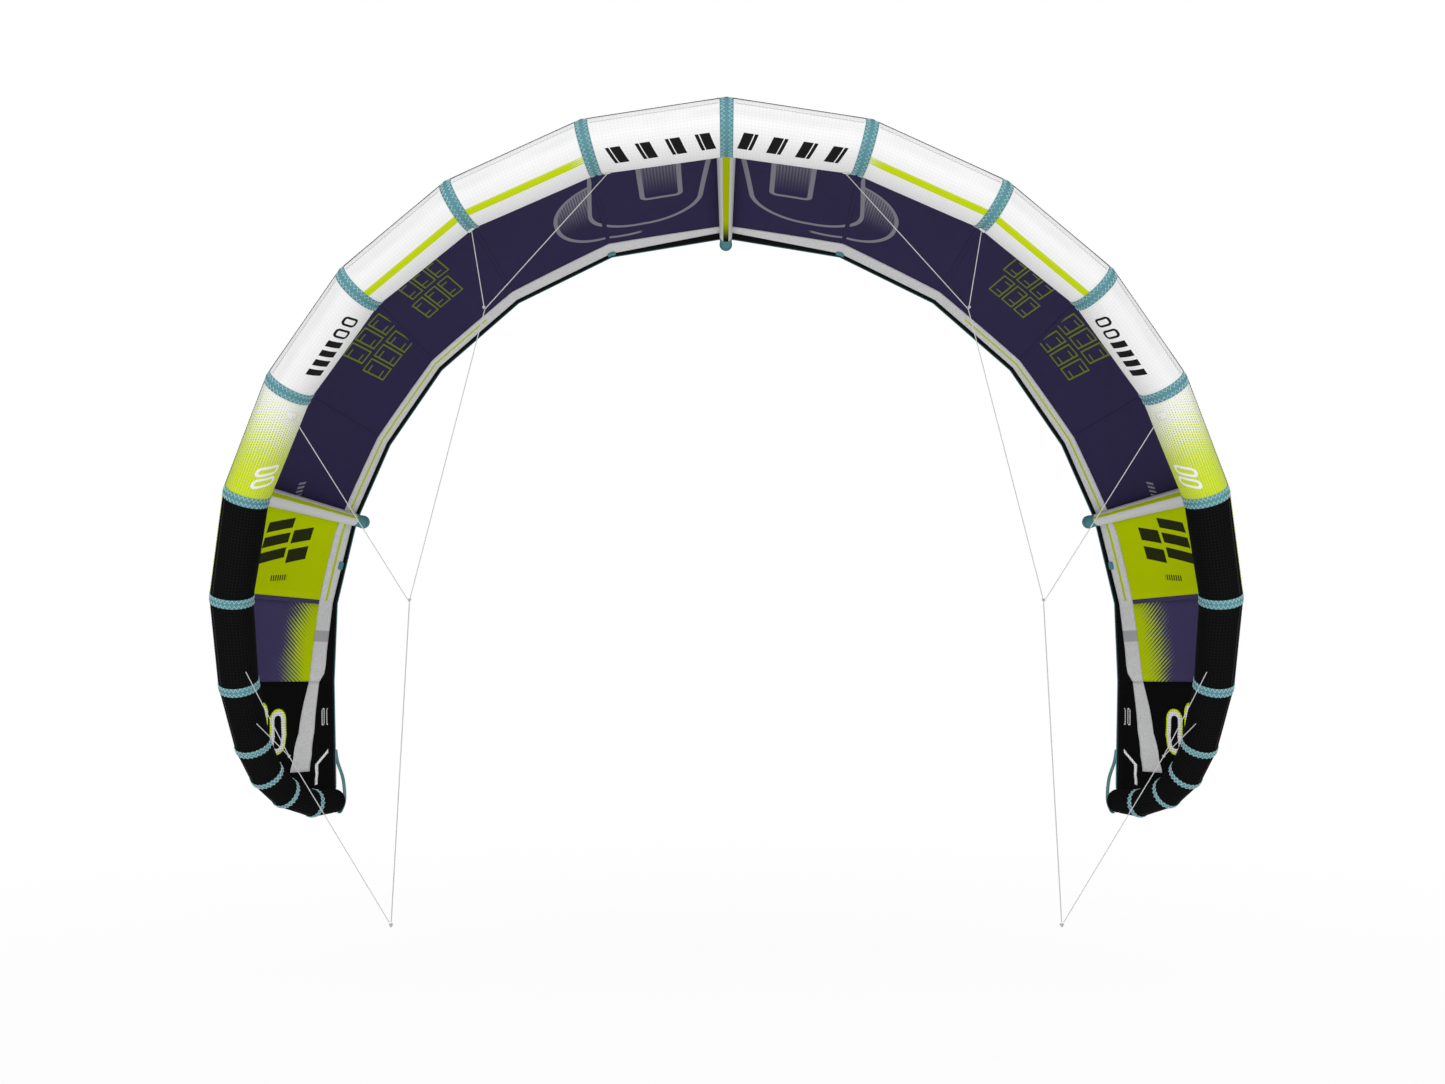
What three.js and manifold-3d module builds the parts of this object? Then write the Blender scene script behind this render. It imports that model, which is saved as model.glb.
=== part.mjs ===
// A three-strut inflatable kitesurfing kite of about 8 square metres, as it flies.
//
// Millimetres. X runs along the span, Y from the leading edge back to the trailing edge, Z up.
// The origin is the centre of the leading edge tube, in the kite's plane of symmetry.
// Left and right are those of someone who faces the kite from the front, looking along +Y.
import * as THREE from "three";
import { mergeVertices } from "three/addons/utils/BufferGeometryUtils.js";
import Module from "manifold-3d";

// ---------------------------------------------------------------------------------------------
// Driving dimensions
// ---------------------------------------------------------------------------------------------

// The leading edge is sewn from straight lengths that meet at seams. From the centre to a tip,
// each row is one length: how long it is, how steeply it falls (0 level, 90 straight down, past
// 90 it curls in under the kite) and how far it sweeps back. At its outer seam, slip is how far
// the canopy's seam moves along the arch on its way to the trailing edge, and lean is how far
// behind the tube's outermost line the canopy leaves it.
const PLAN = [
  { length: 420, fall: 8, sweep: 2, slip: 40, lean: 10 },
  { length: 430, fall: 23, sweep: 6, slip: 30, lean: 10 },
  { length: 405, fall: 37.5, sweep: 10.5, slip: 45, lean: 10 },
  { length: 390, fall: 52, sweep: 14.5, slip: 40, lean: 10 },
  { length: 380, fall: 65.5, sweep: 15, slip: 10, lean: 10 },
  { length: 345, fall: 78.5, sweep: 16, slip: 25, lean: 10 },
  { length: 300, fall: 90.5, sweep: 19.5, slip: 45, lean: 10 },
  { length: 230, fall: 97, sweep: 27, slip: 0, lean: 12 },
  { length: 130, fall: 106.5, sweep: 34, slip: 0, lean: 25 },
  { length: 120, fall: 123, sweep: 45, slip: 0, lean: 45 },
  { length: 140, fall: 147, sweep: 52, slip: 0, lean: 70 },
  { length: 100, fall: 180, sweep: 56, slip: 0, lean: 85 },
];
const CENTRE_LEAN = 10; // lean at the centre seam
const TIP = PLAN.length; // the seam number of the tip; the centre seam is 0
const LIME_SEAM = 4; // the casing turns from white to lime here
const STRUT_SEAM = 5; // the side struts, and the change to the black casing
const VIOLET_SEAM = 6; // the canopy turns from lime to violet here
const TIP_SEAM = 7; // where the last, black canopy panel starts
const LAST_BAND = 5; // the last seam whose band is a piece here

const CENTRE_DIAMETER = 174; // leading edge tube at the centre
const TIP_DIAMETER = 82; // leading edge tube at the tips
const CASING_WALL = 1;
const BLADDER_GAP = 0.5; // between the casing and the bladder in it
const BLADDER_WALL = 1;
const TUBE_SIDES = 16;

const BAND_WIDTH = 38; // tape sewn over each seam of the leading edge
const BAND_THICKNESS = 1.2;
const SKIN_GAP = 0.4; // clearance between fabrics that lie on each other

const CENTRE_CHORD = 1590; // leading edge centre to trailing edge, fore and aft
const TIP_SEAM_CHORD = 752; // the same at the tip seam
const CENTRE_INSET = 130; // how far inside the arch the trailing edge sits, at the centre
const SIDE_INSET = 190; // the same where it is greatest
const SIDE_INSET_AT = 2150; // distance along the leading edge where it is greatest
const TAIL_CORNER = new THREE.Vector3(12, 133, 29); // from the tube's tip to the canopy's last corner
const CENTRE_CAMBER = 0.065; // height of the canopy's arch over its chord, as a share of the chord
const CAMBER_PEAK = 0.3; // where along the chord it is highest
const CANOPY_THICKNESS = 2;
const PROFILE_STEPS = 8;

const BINDING_WIDTH = 34; // black hem of the trailing edge
const BINDING_THICKNESS = 3.5;
const STRIP_WIDTH = 75; // load strip in front of the hem
const STRIP_THICKNESS = 1.2;

const CENTRE_STRUT = { front: 84, rear: 43 }; // strut tube diameters
const SIDE_STRUT = { front: 74, rear: 44 };
const STRUT_STOP = 8; // how far in front of the trailing edge a strut ends
const STRUT_CAP_LENGTH = 30;
const STRUT_CAP_STEP = 1.5; // how far the cap stands proud of the strut
const BLADDER_NECK = 6; // radius of the opening in a strut bladder's front end

const VALVE_AT = -0.42; // place along the first length, left of the centre strut
const VALVE_ANGLE = 222; // round the tube from the front over the top: behind and below
const VALVE_BORE = 15.4;
const VALVE_NECK = 19;
const VALVE_FLANGE = 27;
const INSERT_CLEARANCE = 0.4;
const INSERT_BORE = 9;
const INSERT_RIM = 22;
const CAP_DISC = 14.5;

const HOSE_RADIUS = 7;
const HOSE_WALL = 2;
const HOSE_REACH = 190; // how far behind the leading edge's centre a hose enters its strut
const HOSE_ANGLE = 190; // round the leading edge: straight behind, a little below
const HOSE_EASE = 62; // how straight a hose starts and ends
const HOSE_STEPS = 10;
const HOSE_SIDES = 10;
const HOSE_GAP = 1; // between a hose's end and the strut's flank, which is tapered
const HOSE_AWAY = 130; // how far along the leading edge from its strut a hose starts
const HINGE_PIN = 1.5;
const HINGE_KNUCKLE = 3.5;
const HINGE_CLEARANCE = 0.4;
const HINGE_WIDTH = 8;
const HINGE_EAR = 3;
const CLIP_ARM = 18; // hose centre to clip hinge

const STRAP_WIDTH = 18;
const STRAP_THICKNESS = 2;

// Bridle, right side. The lines are taut, so each route is straight from knot to knot. A route
// starts on the leading edge, at a place along it and an angle round it, or at its first knot.
const BRIDLE_LINE = 2.8; // diameter
const LEADER_LINE = 3.6; // diameter of the line that carries the rest
const KNOT = 6; // radius of the knot where the flying line is fastened
const ROUTES = {
  front_bridle: { start: [0.92, 262], knots: [[734, 74, -540], [971, 147, -1421]] },
  second_bridle: { start: [2.02, 270], knots: [[737, 74, -530]] },
  middle_bridle: { start: [4.16, 314], knots: [[980, 148, -1421]] },
  bridle_leader: { knots: [[973, 148, -1434], [1045, 264, -2432]] },
  rear_bridle: { start: [6.77, 326], knots: [[1395, 445, -1934], [1052, 268, -2433]] },
  tail_bridle: { start: [7.54, 322], knots: [[1402, 450, -1927]] },
};
const FLYING_LINE_POINT = new THREE.Vector3(1046, 265, -2441);

// ---------------------------------------------------------------------------------------------
// Finishes
// ---------------------------------------------------------------------------------------------

const finish = (color, roughness, metalness = 0) =>
  new THREE.MeshStandardMaterial({ color, roughness, metalness, side: THREE.DoubleSide });
const FINISHES = {
  white_dacron: finish(0xf2f2f2, 0.6),
  lime_dacron: finish(0xc8dc00, 0.6),
  black_dacron: finish(0x121212, 0.65),
  teal_tape: finish(0x64939b, 0.6),
  navy_canopy: finish(0x2e2848, 0.55),
  lime_canopy: finish(0x96a500, 0.55),
  violet_canopy: finish(0x3c3560, 0.55),
  black_canopy: finish(0x0f0f10, 0.55),
  grey_dacron: finish(0xb4b4b8, 0.65),
  strut_dacron: finish(0xd8d8da, 0.6),
  clear_film: finish(0xd9dde0, 0.3),
  bridle_line: finish(0xc9c9c9, 0.7),
  teal_webbing: finish(0x82aab1, 0.7),
  valve_plastic: finish(0x1a1a1c, 0.45),
  clip_plastic: finish(0x2b2b2e, 0.45),
  hose: finish(0xc7ccd0, 0.35),
};

// ---------------------------------------------------------------------------------------------
// Solids from points
// ---------------------------------------------------------------------------------------------

const wasm = await Module();
wasm.setup();

const RAD = Math.PI / 180;
const range = (count) => Array.from({ length: count }, (_, i) => i);
const mirrorPoint = (p) => new THREE.Vector3(-p.x, p.y, p.z);
const mix = (a, b, t) => a.clone().lerp(b, t);

function signedVolume(positions, index) {
  const corner = (i) => new THREE.Vector3().fromArray(positions, 3 * index[i]);
  let sum = 0;
  for (let i = 0; i < index.length; i += 3) {
    sum += corner(i).dot(corner(i + 1).cross(corner(i + 2)));
  }
  return sum / 6;
}

// A geometry from corner points and triangles, turned so that its faces point out.
function closedGeometry(points, index) {
  const positions = points.flatMap((p) => p.toArray());
  const facing = signedVolume(positions, index) < 0 ? [...index].reverse() : index;
  const geometry = new THREE.BufferGeometry();
  geometry.setAttribute("position", new THREE.Float32BufferAttribute(positions, 3));
  geometry.setIndex(facing);
  return geometry;
}

// Cuts the four-cornered face a, b, c, d into two triangles, along whichever diagonal stands
// further out. Nested tubes and stacked sheets then stay clear of each other.
function cutFace(points, [a, b, c, d], outwardness) {
  const bulge = (i, j) => outwardness(mix(points[i], points[j], 0.5));
  return bulge(a, c) > bulge(b, d) ? [a, b, c, a, c, d] : [a, b, d, b, c, d];
}

// Joins rings of equal count into a tube. A looped tube's last ring joins its first, as in the
// wall of an open sleeve; any other tube is closed at both ends.
function loft(rings, { looped = false } = {}) {
  const sides = rings[0].length;
  const points = rings.flat();
  const index = [];
  const at = (ring, side) => (ring % rings.length) * sides + (side % sides);
  const centreOf = (ring) => ring.reduce((sum, p) => sum.add(p), new THREE.Vector3())
    .divideScalar(sides);
  for (let r = 0; r < rings.length - (looped ? 0 : 1); r += 1) {
    const middle = mix(centreOf(rings[r]), centreOf(rings[(r + 1) % rings.length]), 0.5);
    for (let s = 0; s < sides; s += 1) {
      const face = [at(r, s), at(r, s + 1), at(r + 1, s + 1), at(r + 1, s)];
      index.push(...cutFace(points, face, (p) => p.distanceTo(middle)));
    }
  }
  if (!looped) {
    const last = rings.length - 1;
    for (let s = 1; s < sides - 1; s += 1) {
      index.push(at(0, 0), at(0, s + 1), at(0, s));
      index.push(at(last, 0), at(last, s), at(last, s + 1));
    }
  }
  return closedGeometry(points, index);
}

// A sheet with a thickness, from two grids of points that lie over each other.
function slab(top, bottom) {
  const rows = top.length;
  const columns = top[0].length;
  const points = [...top.flat(), ...bottom.flat()];
  const upper = (r, c) => r * columns + c;
  const lower = (r, c) => rows * columns + r * columns + c;
  const index = [];
  const quad = (a, b, c, d) => index.push(a, b, c, a, c, d);
  for (let r = 0; r < rows - 1; r += 1) {
    for (let c = 0; c < columns - 1; c += 1) {
      const outward = top[r][c].clone().sub(bottom[r][c]);
      const face = [upper(r, c), upper(r + 1, c), upper(r + 1, c + 1), upper(r, c + 1)];
      const cutting = cutFace(points, face, (p) => p.dot(outward));
      index.push(...cutting);
      index.push(...[...cutting].reverse().map((i) => i + rows * columns));
    }
    quad(upper(r, 0), lower(r, 0), lower(r + 1, 0), upper(r + 1, 0));
    quad(upper(r + 1, columns - 1), lower(r + 1, columns - 1), lower(r, columns - 1),
      upper(r, columns - 1));
  }
  for (let c = 0; c < columns - 1; c += 1) {
    quad(upper(0, c + 1), lower(0, c + 1), lower(0, c), upper(0, c));
    quad(upper(rows - 1, c), lower(rows - 1, c), lower(rows - 1, c + 1), upper(rows - 1, c + 1));
  }
  return closedGeometry(points, index);
}

function toSolid(geometry) {
  const bare = geometry.index ? geometry.toNonIndexed() : geometry.clone();
  bare.deleteAttribute("normal");
  bare.deleteAttribute("uv");
  const merged = mergeVertices(bare, 1e-3);
  return new wasm.Manifold(new wasm.Mesh({
    numProp: 3,
    vertProperties: merged.attributes.position.array,
    triVerts: new Uint32Array(merged.index.array),
  }));
}

function fromSolid(solid) {
  const mesh = solid.getMesh();
  const geometry = new THREE.BufferGeometry();
  const positions = new Float32Array(mesh.numVert * 3);
  for (let i = 0; i < mesh.numVert; i += 1) {
    positions.set(mesh.vertProperties.subarray(i * mesh.numProp, i * mesh.numProp + 3), i * 3);
  }
  geometry.setAttribute("position", new THREE.BufferAttribute(positions, 3));
  geometry.setIndex(new THREE.BufferAttribute(mesh.triVerts, 1));
  return geometry;
}

const join = (...shapes) => fromSolid(shapes.map(toSolid).reduce((a, b) => a.add(b)));
const cut = (shape, ...tools) =>
  fromSolid(tools.map(toSolid).reduce((a, b) => a.subtract(b), toSolid(shape)));

// The mirror image of a geometry across the plane of symmetry, its faces still pointing out.
function mirrored(geometry) {
  const copy = geometry.index ? geometry.toNonIndexed() : geometry.clone();
  copy.deleteAttribute("normal");
  copy.deleteAttribute("uv");
  const position = copy.attributes.position;
  for (let i = 0; i < position.count; i += 3) {
    const [a, b, c] = [0, 1, 2].map((k) => new THREE.Vector3().fromBufferAttribute(position, i + k));
    [a, c, b].forEach((p, k) => position.setXYZ(i + k, -p.x, p.y, p.z));
  }
  return copy;
}

// ---------------------------------------------------------------------------------------------
// Leading edge: seams, rings round the tube, points on its skin
// ---------------------------------------------------------------------------------------------

const heading = ({ fall, sweep }) => new THREE.Vector3(
  Math.cos(sweep * RAD) * Math.cos(fall * RAD),
  Math.sin(sweep * RAD),
  -Math.cos(sweep * RAD) * Math.sin(fall * RAD),
);

// Every seam of the right half: its centre, how far along the tube it is, and the tube's axis.
const seams = [{ centre: new THREE.Vector3(), along: 0, axis: new THREE.Vector3(1, 0, 0) }];
PLAN.forEach((row, i) => {
  const before = seams[i];
  const step = heading(row);
  const after = i + 1 < TIP ? heading(PLAN[i + 1]) : step;
  seams.push({
    centre: before.centre.clone().addScaledVector(step, row.length),
    along: before.along + row.length,
    axis: step.clone().add(after).normalize(),
  });
});
const HALF_LENGTH = seams[TIP].along;

seams.forEach((seam) => {
  const share = seam.along / HALF_LENGTH;
  const taper = (share + share ** 6) / 2;
  seam.radius = (CENTRE_DIAMETER - (CENTRE_DIAMETER - TIP_DIAMETER) * taper) / 2;
  seam.front = new THREE.Vector3(0, -1, 0);
  seam.front.addScaledVector(seam.axis, -seam.front.dot(seam.axis)).normalize();
  seam.out = new THREE.Vector3().crossVectors(seam.front, seam.axis);
});

const roundSeam = (seam, angle) => seam.front.clone().multiplyScalar(Math.cos(angle * RAD))
  .addScaledVector(seam.out, Math.sin(angle * RAD));

// A place along the tube is a seam number and a share of the length after it. It is negative on
// the left half. The angle goes round the tube from the front (0) over the outside (90).
function onTube(place, angle, standoff = 0) {
  const whole = Math.min(Math.floor(Math.abs(place)), TIP - 1);
  const t = Math.abs(place) - whole;
  const [a, b] = [seams[whole], seams[whole + 1]];
  const centre = mix(a.centre, b.centre, t);
  const spoke = mix(
    roundSeam(a, angle).multiplyScalar(a.radius),
    roundSeam(b, angle).multiplyScalar(b.radius),
    t,
  );
  spoke.setLength(spoke.length() + standoff);
  const point = centre.add(spoke);
  return place < 0 ? mirrorPoint(point) : point;
}

const tubeRing = (place, standoff) =>
  range(TUBE_SIDES).map((i) => onTube(place, (360 * i) / TUBE_SIDES, standoff));

// The rounded end of the tube past the last seam, as rings that close in step by step.
function noseRings(side, standoff) {
  const { centre, axis, radius } = seams[TIP];
  return [30, 55, 78].map((angle) => range(TUBE_SIDES).map((i) => {
    const spoke = roundSeam(seams[TIP], (360 * i) / TUBE_SIDES);
    const point = centre.clone()
      .addScaledVector(axis, (radius + standoff) * Math.sin(angle * RAD))
      .addScaledVector(spoke, (radius + standoff) * Math.cos(angle * RAD));
    return side < 0 ? mirrorPoint(point) : point;
  }));
}

// Places from one seam to another, with every seam between them.
function placesBetween(from, to) {
  const inner = [];
  for (let n = Math.floor(from) + 1; n < to; n += 1) inner.push(n);
  return [from, ...inner, to];
}

const lengthAt = (place) => PLAN[Math.min(Math.floor(Math.abs(place)), TIP - 1)].length;
const half = SKIN_GAP / 2;
// A place just beyond a seam, or just short of it, by half the gap between two pieces.
const beyond = (seam) => seam + half / PLAN[seam].length;
const shortOf = (seam) => seam - half / PLAN[seam - 1].length;

// An open sleeve between two places on the leading edge.
function sleeve(places, outer, inner) {
  const outside = places.map((place) => tubeRing(place, outer));
  const inside = [...places].reverse().map((place) => tubeRing(place, inner));
  return loft([...outside, ...inside], { looped: true });
}

const casingSleeve = (from, to) => sleeve(placesBetween(from, to), 0, -CASING_WALL);

// The black casing is closed at the tip, so its wall runs inside, round the open end, and back.
function tipCasing(side) {
  const places = placesBetween(beyond(STRUT_SEAM), TIP).map((place) => side * place);
  const inside = [
    ...noseRings(side, -CASING_WALL).reverse(),
    ...[...places].reverse().map((place) => tubeRing(place, -CASING_WALL)),
  ];
  const outside = [...places.map((place) => tubeRing(place, 0)), ...noseRings(side, 0)];
  return loft([...inside, ...outside]);
}

function wholeTube(standoff) {
  const places = placesBetween(-TIP, TIP);
  return loft([
    ...noseRings(-1, standoff).reverse(),
    ...places.map((place) => tubeRing(place, standoff)),
    ...noseRings(1, standoff),
  ]);
}

function seamBand(seam, side) {
  const reach = BAND_WIDTH / 2;
  const places = seam === 0
    ? [-reach / PLAN[0].length, 0, reach / PLAN[0].length]
    : [seam - reach / PLAN[seam - 1].length, seam, seam + reach / PLAN[seam].length];
  return sleeve(places.map((p) => side * p), SKIN_GAP + BAND_THICKNESS, SKIN_GAP);
}

// ---------------------------------------------------------------------------------------------
// Canopy: the trailing edge and the cambered skin between it and the leading edge
// ---------------------------------------------------------------------------------------------

const TUBE_STANDOFF = SKIN_GAP + BAND_THICKNESS + SKIN_GAP + CANOPY_THICKNESS / 2;
const tipAlong = seams[TIP_SEAM].along;

function trailingPoint(number) {
  if (number > TIP_SEAM) {
    const share = (seams[number].along - tipAlong) / (HALF_LENGTH - tipAlong);
    const corner = seams[TIP].centre.clone().add(TAIL_CORNER);
    return mix(trailingPoint(TIP_SEAM), corner, 1 - (1 - share) ** 1.5);
  }
  const { centre, along, axis } = seams[number];
  const loss = 1 - TIP_SEAM_CHORD / CENTRE_CHORD;
  const chord = CENTRE_CHORD * (1 - loss * (along / tipAlong) ** 2);
  const swell = Math.sin((Math.PI / 2) * (along / SIDE_INSET_AT)) ** 2;
  const inset = CENTRE_INSET + (SIDE_INSET - CENTRE_INSET) * swell;
  const down = new THREE.Vector3(axis.x, 0, axis.z).normalize();
  const inward = new THREE.Vector3(down.z, 0, -down.x);
  return centre.clone()
    .add(new THREE.Vector3(0, chord, 0))
    .addScaledVector(inward, inset)
    .addScaledVector(down, number ? PLAN[number - 1].slip : 0);
}

seams.forEach((seam, number) => {
  seam.tail = trailingPoint(number);
});

seams.forEach((seam, number) => {
  const middle = ({ centre, tail }) => mix(centre, tail, 0.5);
  const next = seams[Math.min(number + 1, TIP)];
  const last = number ? seams[number - 1] : null;
  const span = last ? middle(next).sub(middle(last)) : new THREE.Vector3(1, 0, 0);
  const chord = seam.tail.clone().sub(seam.centre).normalize();
  seam.normal = span.cross(chord).normalize();
  const lean = (number ? PLAN[number - 1].lean : CENTRE_LEAN) * RAD;
  const leave = seam.normal.clone().multiplyScalar(Math.cos(lean))
    .addScaledVector(chord, Math.sin(lean));
  leave.addScaledVector(seam.axis, -leave.dot(seam.axis)).normalize();
  seam.head = seam.centre.clone().addScaledVector(leave, seam.radius + TUBE_STANDOFF);
  seam.camber = CENTRE_CAMBER * (1 - 0.6 * (seam.along / HALF_LENGTH) ** 2);
});

function archHeight(v) {
  const p = CAMBER_PEAK;
  if (v < p) return (2 * p * v - v * v) / (p * p);
  return (1 - 2 * p + 2 * p * v - v * v) / ((1 - p) * (1 - p));
}

function seamProfile(seam, v) {
  const chord = seam.tail.clone().sub(seam.head);
  const rise = seam.camber * chord.length() * archHeight(v);
  return seam.head.clone().addScaledVector(chord, v).addScaledVector(seam.normal, rise);
}

// A point of the canopy: a place along the span, a share v of the chord, and how far it stands
// off the middle of the skin, outwards.
function onCanopy(place, v, standoff = 0) {
  const whole = Math.min(Math.floor(Math.abs(place)), TIP - 1);
  const t = Math.abs(place) - whole;
  const [a, b] = [seams[whole], seams[whole + 1]];
  const point = mix(seamProfile(a, v), seamProfile(b, v), t);
  point.addScaledVector(mix(a.normal, b.normal, t).normalize(), standoff);
  return place < 0 ? mirrorPoint(point) : point;
}

function chordAt(place) {
  return onCanopy(place, 0).distanceTo(onCanopy(place, 1));
}

// A sheet over some places of the span. Its edges across the chord are distances in front of
// the trailing edge, from front to rear; null stands for the leading edge.
function canopySheet(places, distances, standoff, thickness) {
  const grid = (offset) => places.map((place) => {
    const chord = chordAt(place);
    return distances.flatMap((distance, i) => {
      if (distance !== null) return [onCanopy(place, 1 - distance / chord, offset)];
      const stop = 1 - distances[i + 1] / chord;
      return range(PROFILE_STEPS).map((k) => onCanopy(place, (stop * k) / PROFILE_STEPS, offset));
    });
  });
  return slab(grid(standoff + thickness / 2), grid(standoff - thickness / 2));
}

const HEM_FRONT = BINDING_WIDTH + SKIN_GAP;
const STRIP_FRONT = HEM_FRONT + STRIP_WIDTH;
const STRIP_STANDOFF = -(CANOPY_THICKNESS + STRIP_THICKNESS) / 2 - SKIN_GAP;

const panel = (places) => canopySheet(
  places, [null, STRIP_FRONT, HEM_FRONT], 0, CANOPY_THICKNESS);
const tipPanel = () => canopySheet(
  placesBetween(beyond(TIP_SEAM), TIP), [null, HEM_FRONT], 0, CANOPY_THICKNESS);
const loadStrip = () => canopySheet(
  placesBetween(-TIP_SEAM, TIP_SEAM), [STRIP_FRONT, HEM_FRONT], STRIP_STANDOFF, STRIP_THICKNESS);
const binding = () => canopySheet(
  placesBetween(-TIP, TIP), [BINDING_WIDTH, 0], 0, BINDING_THICKNESS);

// ---------------------------------------------------------------------------------------------
// Struts
// ---------------------------------------------------------------------------------------------

// How far a strut hangs below the middle of the skin, clear of the load strip and the hem.
const STRUT_SEAT = Math.max(
  CANOPY_THICKNESS / 2 + STRIP_THICKNESS + 3 * SKIN_GAP,
  BINDING_THICKNESS / 2 + STRUT_CAP_STEP + 3 * SKIN_GAP,
);

// The shares of the chord at which a sheet of the canopy has its corners, over one place.
function sheetShares(place) {
  const stop = 1 - STRIP_FRONT / chordAt(place);
  return range(PROFILE_STEPS + 1).map((k) => (stop * k) / PROFILE_STEPS);
}

// The strut hangs under one canopy seam and runs parallel to it, corner by corner. Its front
// end lies inside the leading edge tube, where it is cut off.
function strutStations(number, size) {
  const seam = seams[number];
  const shares = [...sheetShares(number), 1 - STRUT_STOP / chordAt(number)];
  const skin = shares.map((v) => seamProfile(seam, v));
  const side = new THREE.Vector3().crossVectors(
    seam.tail.clone().sub(seam.head), seam.normal).normalize();
  return skin.map((point, i) => {
    const leg = (k) => skin[k + 1].clone().sub(skin[k]).normalize();
    const ahead = leg(Math.min(i, skin.length - 2));
    const axis = leg(Math.max(i - 1, 0)).add(ahead).normalize();
    const up = new THREE.Vector3().crossVectors(side, axis).normalize();
    const radius = THREE.MathUtils.lerp(size.front, size.rear, shares[i]) / 2;
    const centre = point.clone().addScaledVector(up, -(radius + STRUT_SEAT) / axis.dot(ahead));
    return { centre, radius, axis, side, up };
  });
}

const circle = ({ centre, side, up }, radius, shift = 0, axis = null) =>
  range(TUBE_SIDES).map((i) => {
    const angle = (2 * Math.PI * i) / TUBE_SIDES;
    const point = centre.clone()
      .addScaledVector(side, radius * Math.cos(angle))
      .addScaledVector(up, radius * Math.sin(angle));
    return axis ? point.addScaledVector(axis, shift) : point;
  });

// The leading edge near a seam, a little larger than its bands, to cut a strut's front end.
function tubeEnvelope(number, standoff) {
  const places = number ? placesBetween(number - 0.9, number + 0.9) : placesBetween(-0.9, 0.9);
  return loft(places.map((place) => tubeRing(place, SKIN_GAP + BAND_THICKNESS + standoff)));
}

const tube = (stations, inset) => loft(stations.map((s) => circle(s, s.radius - inset)));

function strutCasing(stations, number) {
  const last = stations[stations.length - 1];
  const inner = [
    ...stations.map((s) => circle(s, s.radius - CASING_WALL)),
    circle(last, last.radius - CASING_WALL, 5, last.axis),
  ];
  return cut(tube(stations, 0), loft(inner), tubeEnvelope(number, SKIN_GAP));
}

function strutBladder(stations, number) {
  const body = stations.slice(0, -1);
  const inset = CASING_WALL + BLADDER_GAP;
  const neck = body.slice(0, 2).map((station) => circle(station, BLADDER_NECK));
  const hollow = cut(tube(body.slice(0, -1), inset + BLADDER_WALL), tubeEnvelope(number, 4));
  return cut(tube(body, inset), tubeEnvelope(number, 2), hollow, loft(neck));
}

function strutCap(stations) {
  const last = stations[stations.length - 1];
  const radius = last.radius + STRUT_CAP_STEP;
  const straight = STRUT_CAP_LENGTH / 3;
  const dome = STRUT_CAP_LENGTH - straight;
  const rings = [circle(last, radius, SKIN_GAP, last.axis), circle(last, radius, straight, last.axis)];
  [25, 50, 72].forEach((angle) => rings.push(circle(
    last, radius * Math.cos(angle * RAD), straight + dome * Math.sin(angle * RAD), last.axis)));
  return loft(rings);
}

// ---------------------------------------------------------------------------------------------
// Small hardware, modelled in its own axes and then placed
// ---------------------------------------------------------------------------------------------

// Places a geometry so that its own X, Y and Z point along the given directions.
function placed(geometry, origin, x, y, z) {
  const matrix = new THREE.Matrix4().makeBasis(x, y, z).setPosition(origin);
  return geometry.clone().applyMatrix4(matrix);
}

function block(x0, x1, y0, y1, z0, z1) {
  const geometry = new THREE.BoxGeometry(x1 - x0, y1 - y0, z1 - z0);
  return geometry.translate((x0 + x1) / 2, (y0 + y1) / 2, (z0 + z1) / 2);
}

// A round bar along Y, centred on a point of the XZ plane.
const barAlongY = (radius, length, x, z, sides = 12) =>
  new THREE.CylinderGeometry(radius, radius, length, sides).translate(x, 0, z);

// Two ears and the pin between them. The pin lies along Y at (x, z); the ears rise from base.
function hingeEars(x, z, base) {
  const inner = HINGE_WIDTH / 2 + HINGE_CLEARANCE;
  const outer = inner + HINGE_EAR;
  const ear = (from, to) => join(
    block(x - HINGE_KNUCKLE, x + HINGE_KNUCKLE, from, to, base, z),
    barAlongY(HINGE_KNUCKLE, to - from, x, z).translate(0, (from + to) / 2, 0),
  );
  return [ear(inner, outer), ear(-outer, -inner), barAlongY(HINGE_PIN, 2 * outer - 1, x, z)];
}

const knuckleBore = (x, z) =>
  barAlongY(HINGE_PIN + HINGE_CLEARANCE, HINGE_WIDTH + 2, x, z);
const knuckle = (x, z) => barAlongY(HINGE_KNUCKLE, HINGE_WIDTH, x, z);

const turned = (profile) => new THREE.LatheGeometry(
  profile.map(([r, h]) => new THREE.Vector2(r, h)), 24).rotateX(Math.PI / 2);

// Inflation valve. Its own Z points out of the tube, from the casing's skin.
const VALVE_HINGE = { x: VALVE_FLANGE + HINGE_KNUCKLE + 2, z: 8 };

function valveBase() {
  const body = turned([
    [VALVE_BORE, -8], [VALVE_NECK, -8], [VALVE_NECK, 1.5], [VALVE_FLANGE, 1.5],
    [VALVE_FLANGE, 3.5], [VALVE_FLANGE - 1, 4.5], [VALVE_BORE, 4.5], [VALVE_BORE, -8],
  ]);
  const { x, z } = VALVE_HINGE;
  const outer = HINGE_WIDTH / 2 + HINGE_CLEARANCE + HINGE_EAR;
  const shelf = block(VALVE_FLANGE - 4, x + HINGE_KNUCKLE, -outer, outer, 1.6, 3.4);
  return join(body, shelf, ...hingeEars(x, z, 2.5));
}

function valveInsert() {
  const outer = VALVE_BORE - INSERT_CLEARANCE;
  const body = turned([
    [INSERT_BORE, -6], [outer, -6], [outer, 5], [INSERT_RIM, 5], [INSERT_RIM, 7],
    [INSERT_BORE, 7], [INSERT_BORE, -6],
  ]);
  const lug = (y0, y1) => block(-4, 4, y0, y1, 6.5, 9.5);
  return join(body, lug(16, 21), lug(-21, -16));
}

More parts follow.
